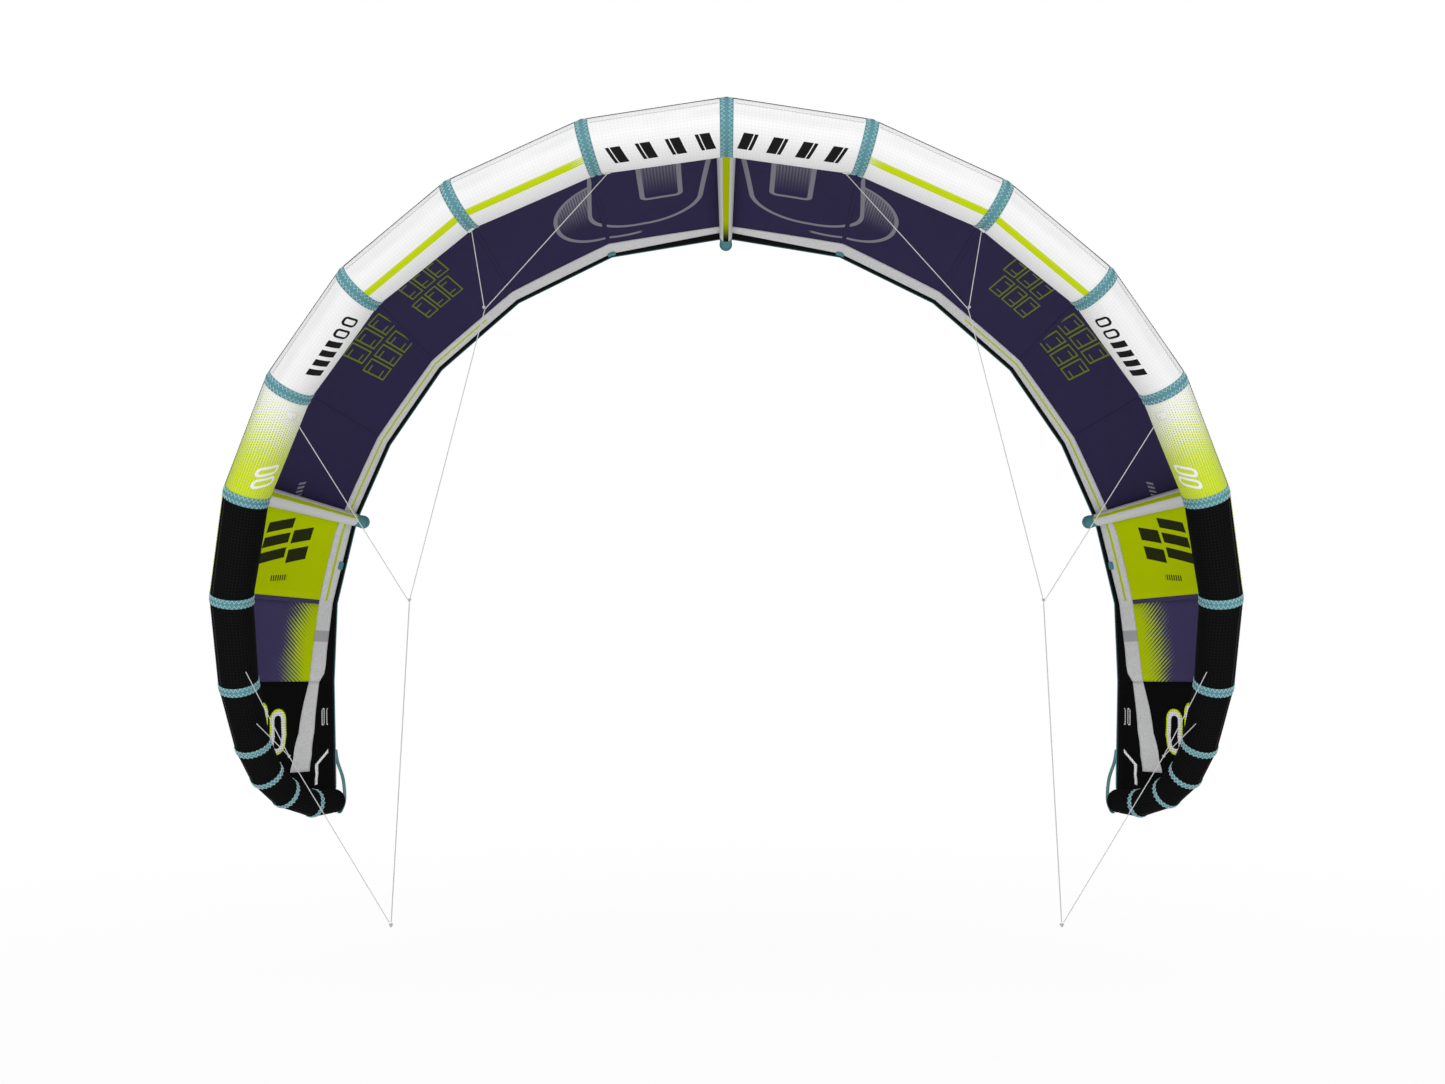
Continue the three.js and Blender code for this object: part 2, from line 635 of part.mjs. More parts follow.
function valveCap() {
  const plug = INSERT_BORE - INSERT_CLEARANCE;
  const disc = turned([
    [0, 2], [plug - 1, 2], [plug, 3], [plug, 7.4], [CAP_DISC, 7.4], [CAP_DISC, 9.6],
    [CAP_DISC - 1, 10.4], [0, 10.4],
  ]);
  const { x, z } = VALVE_HINGE;
  const arm = block(CAP_DISC - 2, x, -HINGE_WIDTH / 2, HINGE_WIDTH / 2, 7.6, 10.2);
  return cut(join(disc, arm, knuckle(x, z)), knuckleBore(x, z));
}

function valveFrame() {
  const point = onTube(VALVE_AT, VALVE_ANGLE);
  const out = onTube(VALVE_AT, VALVE_ANGLE, 10).sub(point).normalize();
  const along = onTube(VALVE_AT - 0.1, VALVE_ANGLE).sub(point);
  along.addScaledVector(out, -along.dot(out)).normalize();
  const across = new THREE.Vector3().crossVectors(out, along);
  return [point, along, across, out];
}

// The hole that the valve's neck passes through, in the casing and in the bladder.
function valveHole() {
  const drill = new THREE.CylinderGeometry(
    VALVE_NECK + SKIN_GAP, VALVE_NECK + SKIN_GAP, 60, 24).rotateX(Math.PI / 2);
  return placed(drill, ...valveFrame());
}

// Inflation hose between the leading edge and a strut, and the clip that pinches it. The hose
// leaves the tube rearwards and turns into the strut's flank.
function hoseRoute(number, stations, toward) {
  const place = number + (toward * HOSE_AWAY) / lengthAt(toward > 0 ? number : number - 1);
  const start = onTube(place, HOSE_ANGLE, SKIN_GAP);
  const out = onTube(place, HOSE_ANGLE, 10).sub(start).normalize();
  const seam = seams[number];
  const reachOf = (s) => s.centre.y - seam.centre.y;
  const after = Math.max(1, stations.findIndex((s) => reachOf(s) > HOSE_REACH));
  const [a, b] = [stations[after - 1], stations[after]];
  const t = (HOSE_REACH - reachOf(a)) / (reachOf(b) - reachOf(a));
  const radius = THREE.MathUtils.lerp(a.radius, b.radius, t);
  const flank = a.side.clone().multiplyScalar(Math.sign(a.side.dot(seam.axis)) * toward);
  const end = mix(a.centre, b.centre, t).addScaledVector(flank, radius + HOSE_GAP);
  return new THREE.CubicBezierCurve3(
    start,
    start.clone().addScaledVector(out, HOSE_EASE),
    end.clone().addScaledVector(flank, HOSE_EASE),
    end,
  );
}

function clipFrame(route, seam) {
  const middle = route.getPointAt(0.5);
  const along = route.getTangentAt(0.5).normalize();
  const inward = seam.normal.clone().negate();
  inward.addScaledVector(along, -inward.dot(along)).normalize();
  const across = new THREE.Vector3().crossVectors(along, inward);
  return [middle, across, along, inward];
}

const ring = (radius, hole, sides) => {
  const arc = (r) => range(sides).map((i) => new THREE.Vector2(
    r * Math.cos((2 * Math.PI * i) / sides), r * Math.sin((2 * Math.PI * i) / sides)));
  const shape = new THREE.Shape(arc(radius));
  if (hole) shape.holes.push(new THREE.Path(arc(hole).reverse()));
  return shape;
};

// In the clip's own axes X crosses the hose, Y runs along it and Z points away from the canopy.
function hoseWithSaddle(route, frame) {
  const along = { steps: HOSE_STEPS, extrudePath: route, bevelEnabled: false };
  const inside = HOSE_RADIUS - HOSE_WALL;
  const hose = new THREE.ExtrudeGeometry(ring(HOSE_RADIUS, inside, HOSE_SIDES), along);
  const width = HINGE_WIDTH / 2 + HINGE_CLEARANCE + HINGE_EAR;
  const bed = block(-CLIP_ARM, CLIP_ARM + HINGE_KNUCKLE, -width, width,
    -HOSE_RADIUS - 3, -HOSE_RADIUS + 0.8);
  const saddle = join(bed, ...hingeEars(CLIP_ARM, 0, -HOSE_RADIUS - 1));
  const bore = new THREE.ExtrudeGeometry(ring(inside, 0, HOSE_SIDES), along);
  return cut(join(hose, placed(saddle, ...frame)), bore);
}

function clipLever(frame) {
  const w = HINGE_WIDTH / 2;
  const bar = block(-CLIP_ARM - 8, CLIP_ARM - 1, -w, w, HOSE_RADIUS + 0.6, HOSE_RADIUS + 4);
  const crank = block(CLIP_ARM - HINGE_KNUCKLE, CLIP_ARM + HINGE_KNUCKLE, -w, w, 0, HOSE_RADIUS + 4);
  const lip = block(-CLIP_ARM - 8, -CLIP_ARM - 4, -w, w, HOSE_RADIUS - 4, HOSE_RADIUS + 4);
  const lever = cut(join(bar, crank, lip, knuckle(CLIP_ARM, 0)), knuckleBore(CLIP_ARM, 0));
  return placed(lever, ...frame);
}

// ---------------------------------------------------------------------------------------------
// Bridle and tip strap
// ---------------------------------------------------------------------------------------------

// A route of straight legs that an extrusion samples exactly at its corners.
class Legs extends THREE.Curve {
  constructor(points) {
    super();
    this.points = points;
  }

  getPoint(t) {
    const at = t * (this.points.length - 1);
    const leg = Math.min(Math.floor(at), this.points.length - 2);
    return mix(this.points[leg], this.points[leg + 1], at - leg);
  }

  getPointAt(t) {
    return this.getPoint(t);
  }

  getTangentAt(t) {
    return this.getTangent(t);
  }
}

function bridleLine({ start, knots }) {
  const points = knots.map((p) => new THREE.Vector3(...p));
  if (start) points.unshift(onTube(...start, BRIDLE_LINE));
  const radius = (start ? BRIDLE_LINE : LEADER_LINE) / 2;
  return new THREE.ExtrudeGeometry(ring(radius, 0, 8), {
    steps: 2 * (points.length - 1), extrudePath: new Legs(points), bevelEnabled: false,
  });
}

const flyingKnot = () => new THREE.SphereGeometry(KNOT, 10, 8)
  .scale(1, 1, 1.3).translate(...FLYING_LINE_POINT.toArray());

// A flat webbing loop from the trailing edge round behind the tube's tip, for the steering line.
function tipStrap() {
  const hem = onCanopy(9, 1);
  const nose = seams[TIP].centre.clone().addScaledVector(seams[TIP].axis, seams[TIP].radius);
  const clear = SKIN_GAP + STRAP_THICKNESS;
  const path = new THREE.CatmullRomCurve3([
    hem.clone().add(new THREE.Vector3(0, clear + 4, 0)),
    hem.clone().add(new THREE.Vector3(-6, 24, -45)),
    mix(hem, nose, 0.6).add(new THREE.Vector3(-14, 52, -4)),
    nose.clone().add(new THREE.Vector3(-14, 42, -2)),
    nose.clone().add(new THREE.Vector3(-8, 10, -34)),
    nose.clone().add(new THREE.Vector3(4, -28, -44)),
  ]);
  const width = new THREE.Vector3(1, 0, 0);
  const steps = 14;
  return loft(range(steps + 1).map((i) => {
    const centre = path.getPointAt(i / steps);
    const tangent = path.getTangentAt(i / steps);
    const face = new THREE.Vector3().crossVectors(tangent, width).normalize();
    const across = new THREE.Vector3().crossVectors(face, tangent).normalize();
    return [[1, 1], [-1, 1], [-1, -1], [1, -1]].map(([a, b]) => centre.clone()
      .addScaledVector(across, (a * STRAP_WIDTH) / 2)
      .addScaledVector(face, (b * STRAP_THICKNESS) / 2));
  }));
}

// ---------------------------------------------------------------------------------------------
// Assembly
// ---------------------------------------------------------------------------------------------

const kite = new THREE.Group();

function add(name, geometry, finishName) {
  const mesh = new THREE.Mesh(geometry, FINISHES[finishName]);
  mesh.name = name;
  kite.add(mesh);
}

// Adds a piece of the right half and its mirror image on the left.
function addPair(name, geometry, finishName) {
  add(`${name}_right`, geometry, finishName);
  add(`${name}_left`, mirrored(geometry), finishName);
}

add("leading_edge_centre", cut(
  casingSleeve(-shortOf(LIME_SEAM), shortOf(LIME_SEAM)), valveHole()), "white_dacron");
addPair("leading_edge_side", casingSleeve(beyond(LIME_SEAM), shortOf(STRUT_SEAM)), "lime_dacron");
addPair("leading_edge_tip", tipCasing(1), "black_dacron");
add("leading_edge_bladder", cut(
  wholeTube(-CASING_WALL - BLADDER_GAP),
  wholeTube(-CASING_WALL - BLADDER_GAP - BLADDER_WALL),
  valveHole(),
), "clear_film");
add("seam_band_centre", seamBand(0, 1), "teal_tape");
for (let seam = 1; seam <= LAST_BAND; seam += 1) {
  addPair(`seam_band_${seam}`, seamBand(seam, 1), "teal_tape");
}

add("canopy_centre", panel(placesBetween(-shortOf(STRUT_SEAM), shortOf(STRUT_SEAM))), "navy_canopy");
addPair("canopy_side", panel([beyond(STRUT_SEAM), shortOf(VIOLET_SEAM)]), "lime_canopy");
addPair("canopy_outer", panel([beyond(VIOLET_SEAM), shortOf(TIP_SEAM)]), "violet_canopy");
addPair("canopy_tip", tipPanel(), "black_canopy");
add("load_strip", loadStrip(), "grey_dacron");
add("trailing_edge_binding", binding(), "black_dacron");

const struts = [
  { name: "centre", seam: 0, size: CENTRE_STRUT, toward: 1 },
  { name: "side", seam: STRUT_SEAM, size: SIDE_STRUT, toward: -1 },
];
struts.forEach(({ name, seam, size, toward }) => {
  const put = name === "side" ? addPair : add;
  const stations = strutStations(seam, size);
  const route = hoseRoute(seam, stations, toward);
  const frame = clipFrame(route, seams[seam]);
  put(`${name}_strut`, strutCasing(stations, seam), "strut_dacron");
  put(`${name}_strut_bladder`, strutBladder(stations, seam), "clear_film");
  put(`${name}_strut_cap`, strutCap(stations), "teal_tape");
  put(`${name}_hose`, hoseWithSaddle(route, frame), "hose");
  put(`${name}_clip_lever`, clipLever(frame), "clip_plastic");
});

add("valve_base", placed(valveBase(), ...valveFrame()), "valve_plastic");
add("valve_insert", placed(valveInsert(), ...valveFrame()), "valve_plastic");
add("valve_cap", placed(valveCap(), ...valveFrame()), "valve_plastic");

Object.entries(ROUTES).forEach(([name, route]) => addPair(name, bridleLine(route), "bridle_line"));
addPair("flying_line_knot", flyingKnot(), "bridle_line");
addPair("tip_strap", tipStrap(), "teal_webbing");

export default kite;
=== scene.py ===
# %% [markdown]
# # A three-strut kitesurfing kite
#
# The kite is a fabric wing held open by air. One fat tube, the leading edge, is sewn from straight
# lengths, so it bends only at its seams. The canopy hangs behind it like a sail, three thinner
# tubes (struts) keep it in shape, and a bridle of thin lines gathers the pull of each half.
#
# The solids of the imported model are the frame. This lesson wraps cloth, tape, thread and line
# round them, one kind of piece at a time.

# %% Load the frame
import math

import bmesh
import bpy
import numpy as np
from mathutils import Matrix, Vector


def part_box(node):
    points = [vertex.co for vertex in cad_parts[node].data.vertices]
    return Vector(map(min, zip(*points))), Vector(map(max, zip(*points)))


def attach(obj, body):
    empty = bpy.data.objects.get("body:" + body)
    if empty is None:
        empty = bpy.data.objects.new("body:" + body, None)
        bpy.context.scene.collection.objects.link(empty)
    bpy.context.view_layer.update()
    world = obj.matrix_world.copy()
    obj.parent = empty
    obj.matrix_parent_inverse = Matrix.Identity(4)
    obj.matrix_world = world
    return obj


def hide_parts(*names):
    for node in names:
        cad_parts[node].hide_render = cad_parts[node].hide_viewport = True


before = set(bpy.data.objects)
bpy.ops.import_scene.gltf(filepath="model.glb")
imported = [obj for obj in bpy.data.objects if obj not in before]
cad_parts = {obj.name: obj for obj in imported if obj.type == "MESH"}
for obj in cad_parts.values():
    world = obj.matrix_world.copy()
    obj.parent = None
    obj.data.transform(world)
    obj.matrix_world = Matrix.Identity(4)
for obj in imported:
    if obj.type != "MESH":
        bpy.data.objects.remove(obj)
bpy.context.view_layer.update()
BODY = "kite"

# %% [markdown]
# ## Camera
#
# The kite is looked at from in front and level with its lower half, from seven metres away.
# A long lens from there keeps the arch nearly free of perspective.

# %% Camera
CAMERA_PLACE = (-0.0123, -7.102, -1.247)
CAMERA_LENS = 58.87
camera_data = bpy.data.cameras.new("camera")
camera_data.sensor_width = 36
camera_data.lens = CAMERA_LENS
camera = bpy.data.objects.new("camera", camera_data)
camera.location = CAMERA_PLACE
camera.rotation_euler = (math.pi / 2, 0, 0)
bpy.context.scene.collection.objects.link(camera)
bpy.context.scene.camera = camera
print("lens", camera_data.lens, "mm")

# %% [markdown]
# ## Bridle
#
# The lines of a kite in flight are taut, so each runs straight from knot to knot. They are
# curves with a round bevel, and a curve keeps its own centre line. The points repeat the right
# half of the imported model and are mirrored to the left.

# %% Routes of the lines
ROUTES = {
    "front_bridle": [(0.3605, 0.0256, -0.1370), (0.734, 0.074, -0.540), (0.971, 0.147, -1.421)],
    "second_bridle": [(0.7731, 0.0611, -0.3027), (0.737, 0.074, -0.530)],
    "middle_bridle": [(1.3401, 0.1946, -0.8583), (0.980, 0.148, -1.421)],
    "bridle_leader": [(0.973, 0.148, -1.434), (1.045, 0.264, -2.432)],
    "rear_bridle": [(1.5359, 0.4499, -1.6621), (1.395, 0.445, -1.934), (1.052, 0.268, -2.433)],
    "tail_bridle": [(1.5182, 0.5366, -1.8342), (1.402, 0.450, -1.927)],
}
LINE_DIAMETER = 0.0028
LEADER_DIAMETER = 0.0036
SIDES = {"right": 1, "left": -1}
STEPS_PER_LEG = 12


def mirrored(points, side):
    return np.asarray(points, float) * [side, 1, 1]


def length_of(points):
    return float(np.linalg.norm(np.diff(points, axis=0), axis=1).sum())


def straight_legs(corners, steps):
    """Points along a route of straight legs, evenly spread over each leg."""
    points = [corners[0]]
    for a, b in zip(corners[:-1], corners[1:]):
        points += [a + (b - a) * (k + 1) / steps for k in range(steps)]
    return np.array(points)


def line_curve(name, points, diameter):
    data = bpy.data.curves.new(name, "CURVE")
    data.dimensions = "3D"
    data.bevel_depth = 1.0  # each point's own radius is the line's
    data.bevel_resolution = 3
    data.use_fill_caps = True
    spline = data.splines.new("POLY")
    spline.points.add(len(points) - 1)
    for place, point in zip(spline.points, points):
        place.co = (*point, 1)
        place.radius = diameter / 2
    line = bpy.data.objects.new(name, data)
    bpy.context.scene.collection.objects.link(line)
    return line


lines = {}
for word, side in SIDES.items():
    for name, corners in ROUTES.items():
        route = straight_legs(mirrored(corners, side), STEPS_PER_LEG)
        thick = LEADER_DIAMETER if name == "bridle_leader" else LINE_DIAMETER
        line = line_curve(f"{name}_line_{word}", route, thick)
        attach(line, BODY)
        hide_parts(f"{name}_{word}")
        end = "knot" if name in ("bridle_leader", "rear_bridle") else "object"
        lines[f"{name}_{word}"] = (line, route, thick, end)
print(len(lines), "bridle lines")


def halves(centred):
    """Suffix and side of each copy of a piece: one in the middle, or a right and a left one."""
    return [("", 1)] if centred else [(f"_{word}", side) for word, side in SIDES.items()]


# %% [markdown]
# ## The sewing plan
#
# Every panel follows from one list: how long each straight length of the leading edge is, how it
# falls and sweeps back, and how the canopy's seam leaves it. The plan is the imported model's own,
# in metres. From it come the seams, and from the seams any point of the tube or the canopy.

# %% The plan, from the centre to a tip
# length, fall and sweep (degrees), slip of the canopy seam, lean (degrees)
PLAN = [
    (0.420, 8, 2, 0.040, 10),
    (0.430, 23, 6, 0.030, 10),
    (0.405, 37.5, 10.5, 0.045, 10),
    (0.390, 52, 14.5, 0.040, 10),
    (0.380, 65.5, 15, 0.010, 10),
    (0.345, 78.5, 16, 0.025, 10),
    (0.300, 90.5, 19.5, 0.045, 10),
    (0.230, 97, 27, 0, 12),
    (0.130, 106.5, 34, 0, 25),
    (0.120, 123, 45, 0, 45),
    (0.140, 147, 52, 0, 70),
    (0.100, 180, 56, 0, 85),
]
TIP = len(PLAN)
LIME_SEAM = 4
STRUT_SEAM = 5
VIOLET_SEAM = 6
TIP_SEAM = 7
CENTRE_LEAN = 10
CENTRE_RADIUS = 0.087
TIP_RADIUS = 0.041
CENTRE_CHORD = 1.590
TIP_SEAM_CHORD = 0.752
CENTRE_INSET = 0.130
SIDE_INSET = 0.190
SIDE_INSET_AT = 2.150
TAIL_CORNER = np.array([0.012, 0.133, 0.029])
CENTRE_CAMBER = 0.065
CAMBER_PEAK = 0.3
SKIN_STANDOFF = 0.003
print(TIP, "lengths on each side,", round(sum(row[0] for row in PLAN), 3), "m from centre to tip")

# %% Seams
ALONG = np.concatenate([[0], np.cumsum([row[0] for row in PLAN])])


def unit(vector):
    vector = np.asarray(vector, float)
    return vector / np.linalg.norm(vector, axis=-1, keepdims=True)


def heading(row):
    fall, sweep = math.radians(row[1]), math.radians(row[2])
    level = math.cos(sweep)
    return np.array([level * math.cos(fall), math.sin(sweep), -level * math.sin(fall)])


class Seam:
    """Where two lengths of the leading edge meet: the tube there and the canopy behind it."""

    def __init__(self, number, centre):
        self.number = number
        self.centre = centre
        self.along = ALONG[number]
        before = heading(PLAN[max(number - 1, 0)])
        after = heading(PLAN[min(number, TIP - 1)])
        self.axis = unit(before + after) if number else np.array([1.0, 0, 0])
        share = self.along / ALONG[-1]
        taper = (share + share**6) / 2
        self.radius = CENTRE_RADIUS - (CENTRE_RADIUS - TIP_RADIUS) * taper
        front = np.array([0, -1.0, 0])
        self.front = unit(front - self.axis * (front @ self.axis))
        self.out = np.cross(self.front, self.axis)


def make_seams():
    seams = [Seam(0, np.zeros(3))]
    for number, row in enumerate(PLAN, 1):
        seams.append(Seam(number, seams[-1].centre + heading(row) * row[0]))
    return seams


seams = make_seams()
print("tip of the tube at", seams[TIP].centre.round(3))


# %% Trailing edge and the arch of each seam
def trailing_point(number):
    if number > TIP_SEAM:
        share = (ALONG[number] - ALONG[TIP_SEAM]) / (ALONG[TIP] - ALONG[TIP_SEAM])
        start = trailing_point(TIP_SEAM)
        corner = seams[TIP].centre + TAIL_CORNER
        return start + (corner - start) * (1 - (1 - share) ** 1.5)
    seam = seams[number]
    loss = 1 - TIP_SEAM_CHORD / CENTRE_CHORD
    chord = CENTRE_CHORD * (1 - loss * (seam.along / ALONG[TIP_SEAM]) ** 2)
    swell = math.sin(math.pi / 2 * seam.along / SIDE_INSET_AT) ** 2
    inset = CENTRE_INSET + (SIDE_INSET - CENTRE_INSET) * swell
    down = unit([seam.axis[0], 0, seam.axis[2]])
    inward = np.array([down[2], 0, -down[0]])
    slip = PLAN[number - 1][3] if number else 0
    return seam.centre + np.array([0, chord, 0]) + inward * inset + down * slip


for seam in seams:
    seam.tail = trailing_point(seam.number)

for seam in seams:
    after = seams[min(seam.number + 1, TIP)]
    before = seams[max(seam.number - 1, 0)]
    span = (after.centre + after.tail) - (before.centre + before.tail)
    if seam.number == 0:
        span = np.array([1.0, 0, 0])
    chord = unit(seam.tail - seam.centre)
    seam.normal = unit(np.cross(span, chord))
    lean = math.radians(PLAN[seam.number - 1][4] if seam.number else CENTRE_LEAN)
    leave = seam.normal * math.cos(lean) + chord * math.sin(lean)
    leave = unit(leave - seam.axis * (leave @ seam.axis))
    seam.leave = math.degrees(math.atan2(leave @ seam.out, leave @ seam.front)) % 360
    seam.head = seam.centre + leave * (seam.radius + SKIN_STANDOFF)
    seam.camber = CENTRE_CAMBER * (1 - 0.6 * (seam.along / ALONG[-1]) ** 2)
print("middle chord", round(float(np.linalg.norm(seams[0].tail)), 3), "m")


# %% Any point of the tube or the canopy
# A place is a seam number and a share of the length after it, negative on the left half.
def neighbours(place):
    whole = min(int(abs(place)), TIP - 1)
    return seams[whole], seams[whole + 1], abs(place) - whole


def blend_at(place, value):
    a, b, t = neighbours(place)
    return value(a) * (1 - t) + value(b) * t


def on_side(points, place):
    return points * [-1, 1, 1] if place < 0 else points


def on_tube(place, angle, standoff=0.0):
    """Angle in degrees: 0 is the front of the tube, 90 its outside, 270 the inside of the arch."""
    turn = np.radians(np.asarray(angle, float))[..., None]
    centre = blend_at(place, lambda s: s.centre)
    spoke = blend_at(
        place, lambda s: (s.front * np.cos(turn) + s.out * np.sin(turn)) * s.radius
    )
    reach = np.linalg.norm(spoke, axis=-1, keepdims=True)
    lift = np.asarray(standoff, float)
    lift = lift[..., None] if lift.ndim else lift
    return on_side(centre + spoke * (reach + lift) / reach, place)


def arch_height(v):
    p = CAMBER_PEAK
    front = (2 * p * v - v * v) / p**2
    rear = (1 - 2 * p + 2 * p * v - v * v) / (1 - p) ** 2
    return np.where(v < p, front, rear)


def seam_profile(seam, v):
    chord = seam.tail - seam.head
    rise = seam.camber * np.linalg.norm(chord) * arch_height(v)
    return seam.head + v[..., None] * chord + rise[..., None] * seam.normal


BILLOW = 0.035  # how far a bay of the canopy bellies out, as a share of its width


def on_canopy(place, v, standoff=0.0):
    """v runs from 0 at the leading edge to 1 at the trailing edge."""
    v = np.asarray(v, float)
    a, b, t = neighbours(place)
    point = seam_profile(a, v) * (1 - t) + seam_profile(b, v) * t
    normal = unit(a.normal * (1 - t) + b.normal * t)
    width = b.along - a.along
    belly = BILLOW * width * 4 * t * (1 - t) * np.sin(np.pi * np.clip(v, 0, 1)) ** 1.5
    lift = belly + np.asarray(standoff, float)
    return on_side(point + normal * lift[..., None], place)


def chord_at(place):
    ends = on_canopy(place, np.array([0.0, 1.0]))
    return float(np.linalg.norm(ends[1] - ends[0]))


def along_at(place):
    return float(np.interp(abs(place), range(TIP + 1), ALONG))


def place_at(along):
    return float(np.interp(along, ALONG, range(TIP + 1)))


low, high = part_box("leading_edge_centre")
print("front of the tube:", round(low.y, 4), "in the frame,", round(on_tube(0, 0)[1], 4), "here")

# %% [markdown]
# ## Cloth and tape from rows of points
#
# Every sewn piece here is a table of points: rows run along the seam or the tube, columns go
# across it. A tube closes its columns and gets end caps; a sheet stays open and gets its
# thickness from a Solidify modifier. Two UV layers go with each: "plan" holds the sewing place
# and the share round or across, and "cloth" holds metres, so that a weave keeps its true size.

# %% Sewn pieces
def signed_volume(points, faces):
    total = 0.0
    for face in faces:
        corners = points[list(face)]
        for k in range(1, len(face) - 1):
            total += float(np.dot(corners[0], np.cross(corners[k], corners[k + 1])))
    return total / 6


def sewn(name, points, plan=None, cloth=None, tube=False, ring=False):
    """points[row, column, xyz]. tube closes the columns, ring closes the rows."""
    points = np.asarray(points, float)
    rows, columns = points.shape[:2]
    wide, tall = columns + tube, rows + ring
    u, v = np.meshgrid(np.arange(tall) / tall, np.arange(wide) / wide, indexing="ij")
    default = np.stack([u, v], -1)
    layers = {"plan": default if plan is None else plan, "cloth": default if cloth is None else cloth}
    vertices = points.reshape(-1, 3)
    r, c = np.meshgrid(np.arange(tall - 1), np.arange(wide - 1), indexing="ij")
    r, c = r.ravel(), c.ravel()
    corners = [(r, c), (r, c + 1), (r + 1, c + 1), (r + 1, c)]
    faces = np.stack([(a % rows) * columns + b % columns for a, b in corners], -1)
    loops = np.stack([a * wide + b for a, b in corners], -1)
    faces, loops = faces.tolist(), loops.tolist()
    if tube and not ring:
        middles = [points[0].mean(0), points[-1].mean(0)]
        vertices = np.vstack([vertices, middles])
        for end, row in ((0, 0), (1, rows - 1)):
            hub = rows * columns + end
            for b in range(columns):
                one, two = row * columns + b, row * columns + (b + 1) % columns
                uv_one, uv_two = row * wide + b, row * wide + b + 1
                order = (hub, two, one) if end == 0 else (hub, one, two)
                uv = (uv_one, uv_two, uv_one) if end == 0 else (uv_one, uv_one, uv_two)
                faces.append(list(order))
                loops.append(list(uv))
    if tube and signed_volume(vertices, faces) < 0:
        faces = [face[::-1] for face in faces]
        loops = [loop[::-1] for loop in loops]
    data = bpy.data.meshes.new(name)
    data.from_pydata(vertices.tolist(), [], faces)
    index = np.concatenate([np.array(loop) for loop in loops])
    for layer, pairs in layers.items():
        uv = data.uv_layers.new(name=layer)
        uv.data.foreach_set("uv", np.asarray(pairs, float).reshape(-1, 2)[index].ravel())
    data.polygons.foreach_set("use_smooth", [True] * len(data.polygons))
    data.update()
    piece = bpy.data.objects.new(name, data)
    bpy.context.scene.collection.objects.link(piece)
    return piece


def thicken(piece, thickness):
    wall = piece.modifiers.new("thickness", "SOLIDIFY")
    wall.thickness = thickness
    wall.offset = 0
    return piece


def fit(piece, slot, finish, *replaced):
    """Puts a finished piece on the kite with its finish and the solids that it stands for."""
    piece.data.materials.clear()
    piece.data.materials.append(finish)
    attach(piece, BODY)
    if replaced:
        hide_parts(*replaced)
    return piece


# %% [markdown]
# ## Finishes
#
# A small painter keeps the node code readable: it adds nodes and joins them. Effects that many
# cloths share are node groups that put out only masks and heights: a ripstop grid, the creases
# and shade of handled cloth, a halftone dot screen, a rounded box, and a row of slanted bars.

# %% A painter of nodes
class Painter:
    def __init__(self, tree):
        self.tree = tree

    def node(self, kind, inputs=(), **settings):
        made = self.tree.nodes.new(kind)
        for key, value in settings.items():
            setattr(made, key, value)
        for key, value in dict(inputs).items():
            self.put(made.inputs[key], value)
        return made

    def put(self, socket, value):
        if isinstance(value, bpy.types.NodeSocket):
            self.tree.links.new(value, socket)
        elif value is not None:
            socket.default_value = value

    def math(self, what, a, b=None, c=None):
        return self.node("ShaderNodeMath", {0: a, 1: b, 2: c}, operation=what).outputs[0]

    def both(self, *masks):
        total = masks[0]
        for mask in masks[1:]:
            total = self.math("MULTIPLY", total, mask)
        return total

    def either(self, *masks):
        total = masks[0]
        for mask in masks[1:]:
            total = self.math("MAXIMUM", total, mask)
        return total

    def ramp(self, value, low, high):
        """0 at low, 1 at high, and smooth between, whichever is larger."""
        inputs = {0: value, 1: low, 2: high, 3: 0.0, 4: 1.0}
        kind = "ShaderNodeMapRange"
        return self.node(kind, inputs, interpolation_type="SMOOTHSTEP", clamp=True).outputs[0]

    def between(self, value, low, high, soft=0.001):
        rise = self.ramp(value, low - soft, low + soft)
        return self.both(rise, self.ramp(value, high + soft, high - soft))

    def mix(self, share, under, over):
        inputs = {0: share, 6: self.colour(under), 7: self.colour(over)}
        return self.node("ShaderNodeMix", inputs, data_type="RGBA").outputs[2]

    def shade(self, colour, factor):
        """Multiplies a colour by a value."""
        grey = self.node("ShaderNodeCombineColor", {0: factor, 1: factor, 2: factor}).outputs[0]
        inputs = {0: 1.0, 6: self.colour(colour), 7: grey}
        return self.node("ShaderNodeMix", inputs, data_type="RGBA", blend_type="MULTIPLY").outputs[2]

    def colour(self, value):
        return (*value, 1) if isinstance(value, tuple) and len(value) == 3 else value

    def uv(self, layer):
        point = self.node("ShaderNodeUVMap", uv_map=layer).outputs[0]
        parts = self.node("ShaderNodeSeparateXYZ", {0: point})
        return parts.outputs[0], parts.outputs[1]

    def surface(self, colour, roughness, bump, **values):
        """The one shader of a solid finish, and the material's output."""
        shader = self.node("ShaderNodeBsdfPrincipled")
        self.put(shader.inputs["Base Color"], colour)
        self.put(shader.inputs["Roughness"], roughness)
        self.put(shader.inputs["Normal"], bump.outputs[0])
        for label, value in values.items():
            self.put(shader.inputs[label.replace("_", " ")], value)
        self.node("ShaderNodeOutputMaterial", {0: shader.outputs[0]})

    def own(self):
        """Where the surface is, in the piece's own axes."""
        return self.node("ShaderNodeTexCoord").outputs["Object"]

    def noise(self, scale, detail=3.0, vector=None):
        inputs = {"Vector": self.own() if vector is None else vector, "Scale": scale, "Detail": detail}
        return self.node("ShaderNodeTexNoise", inputs).outputs[0]

    def group(self, tree, **inputs):
        made = self.tree.nodes.new("ShaderNodeGroup")
        made.node_tree = tree
        for key, value in inputs.items():
            self.put(made.inputs[key.replace("_", " ")], value)
        return made


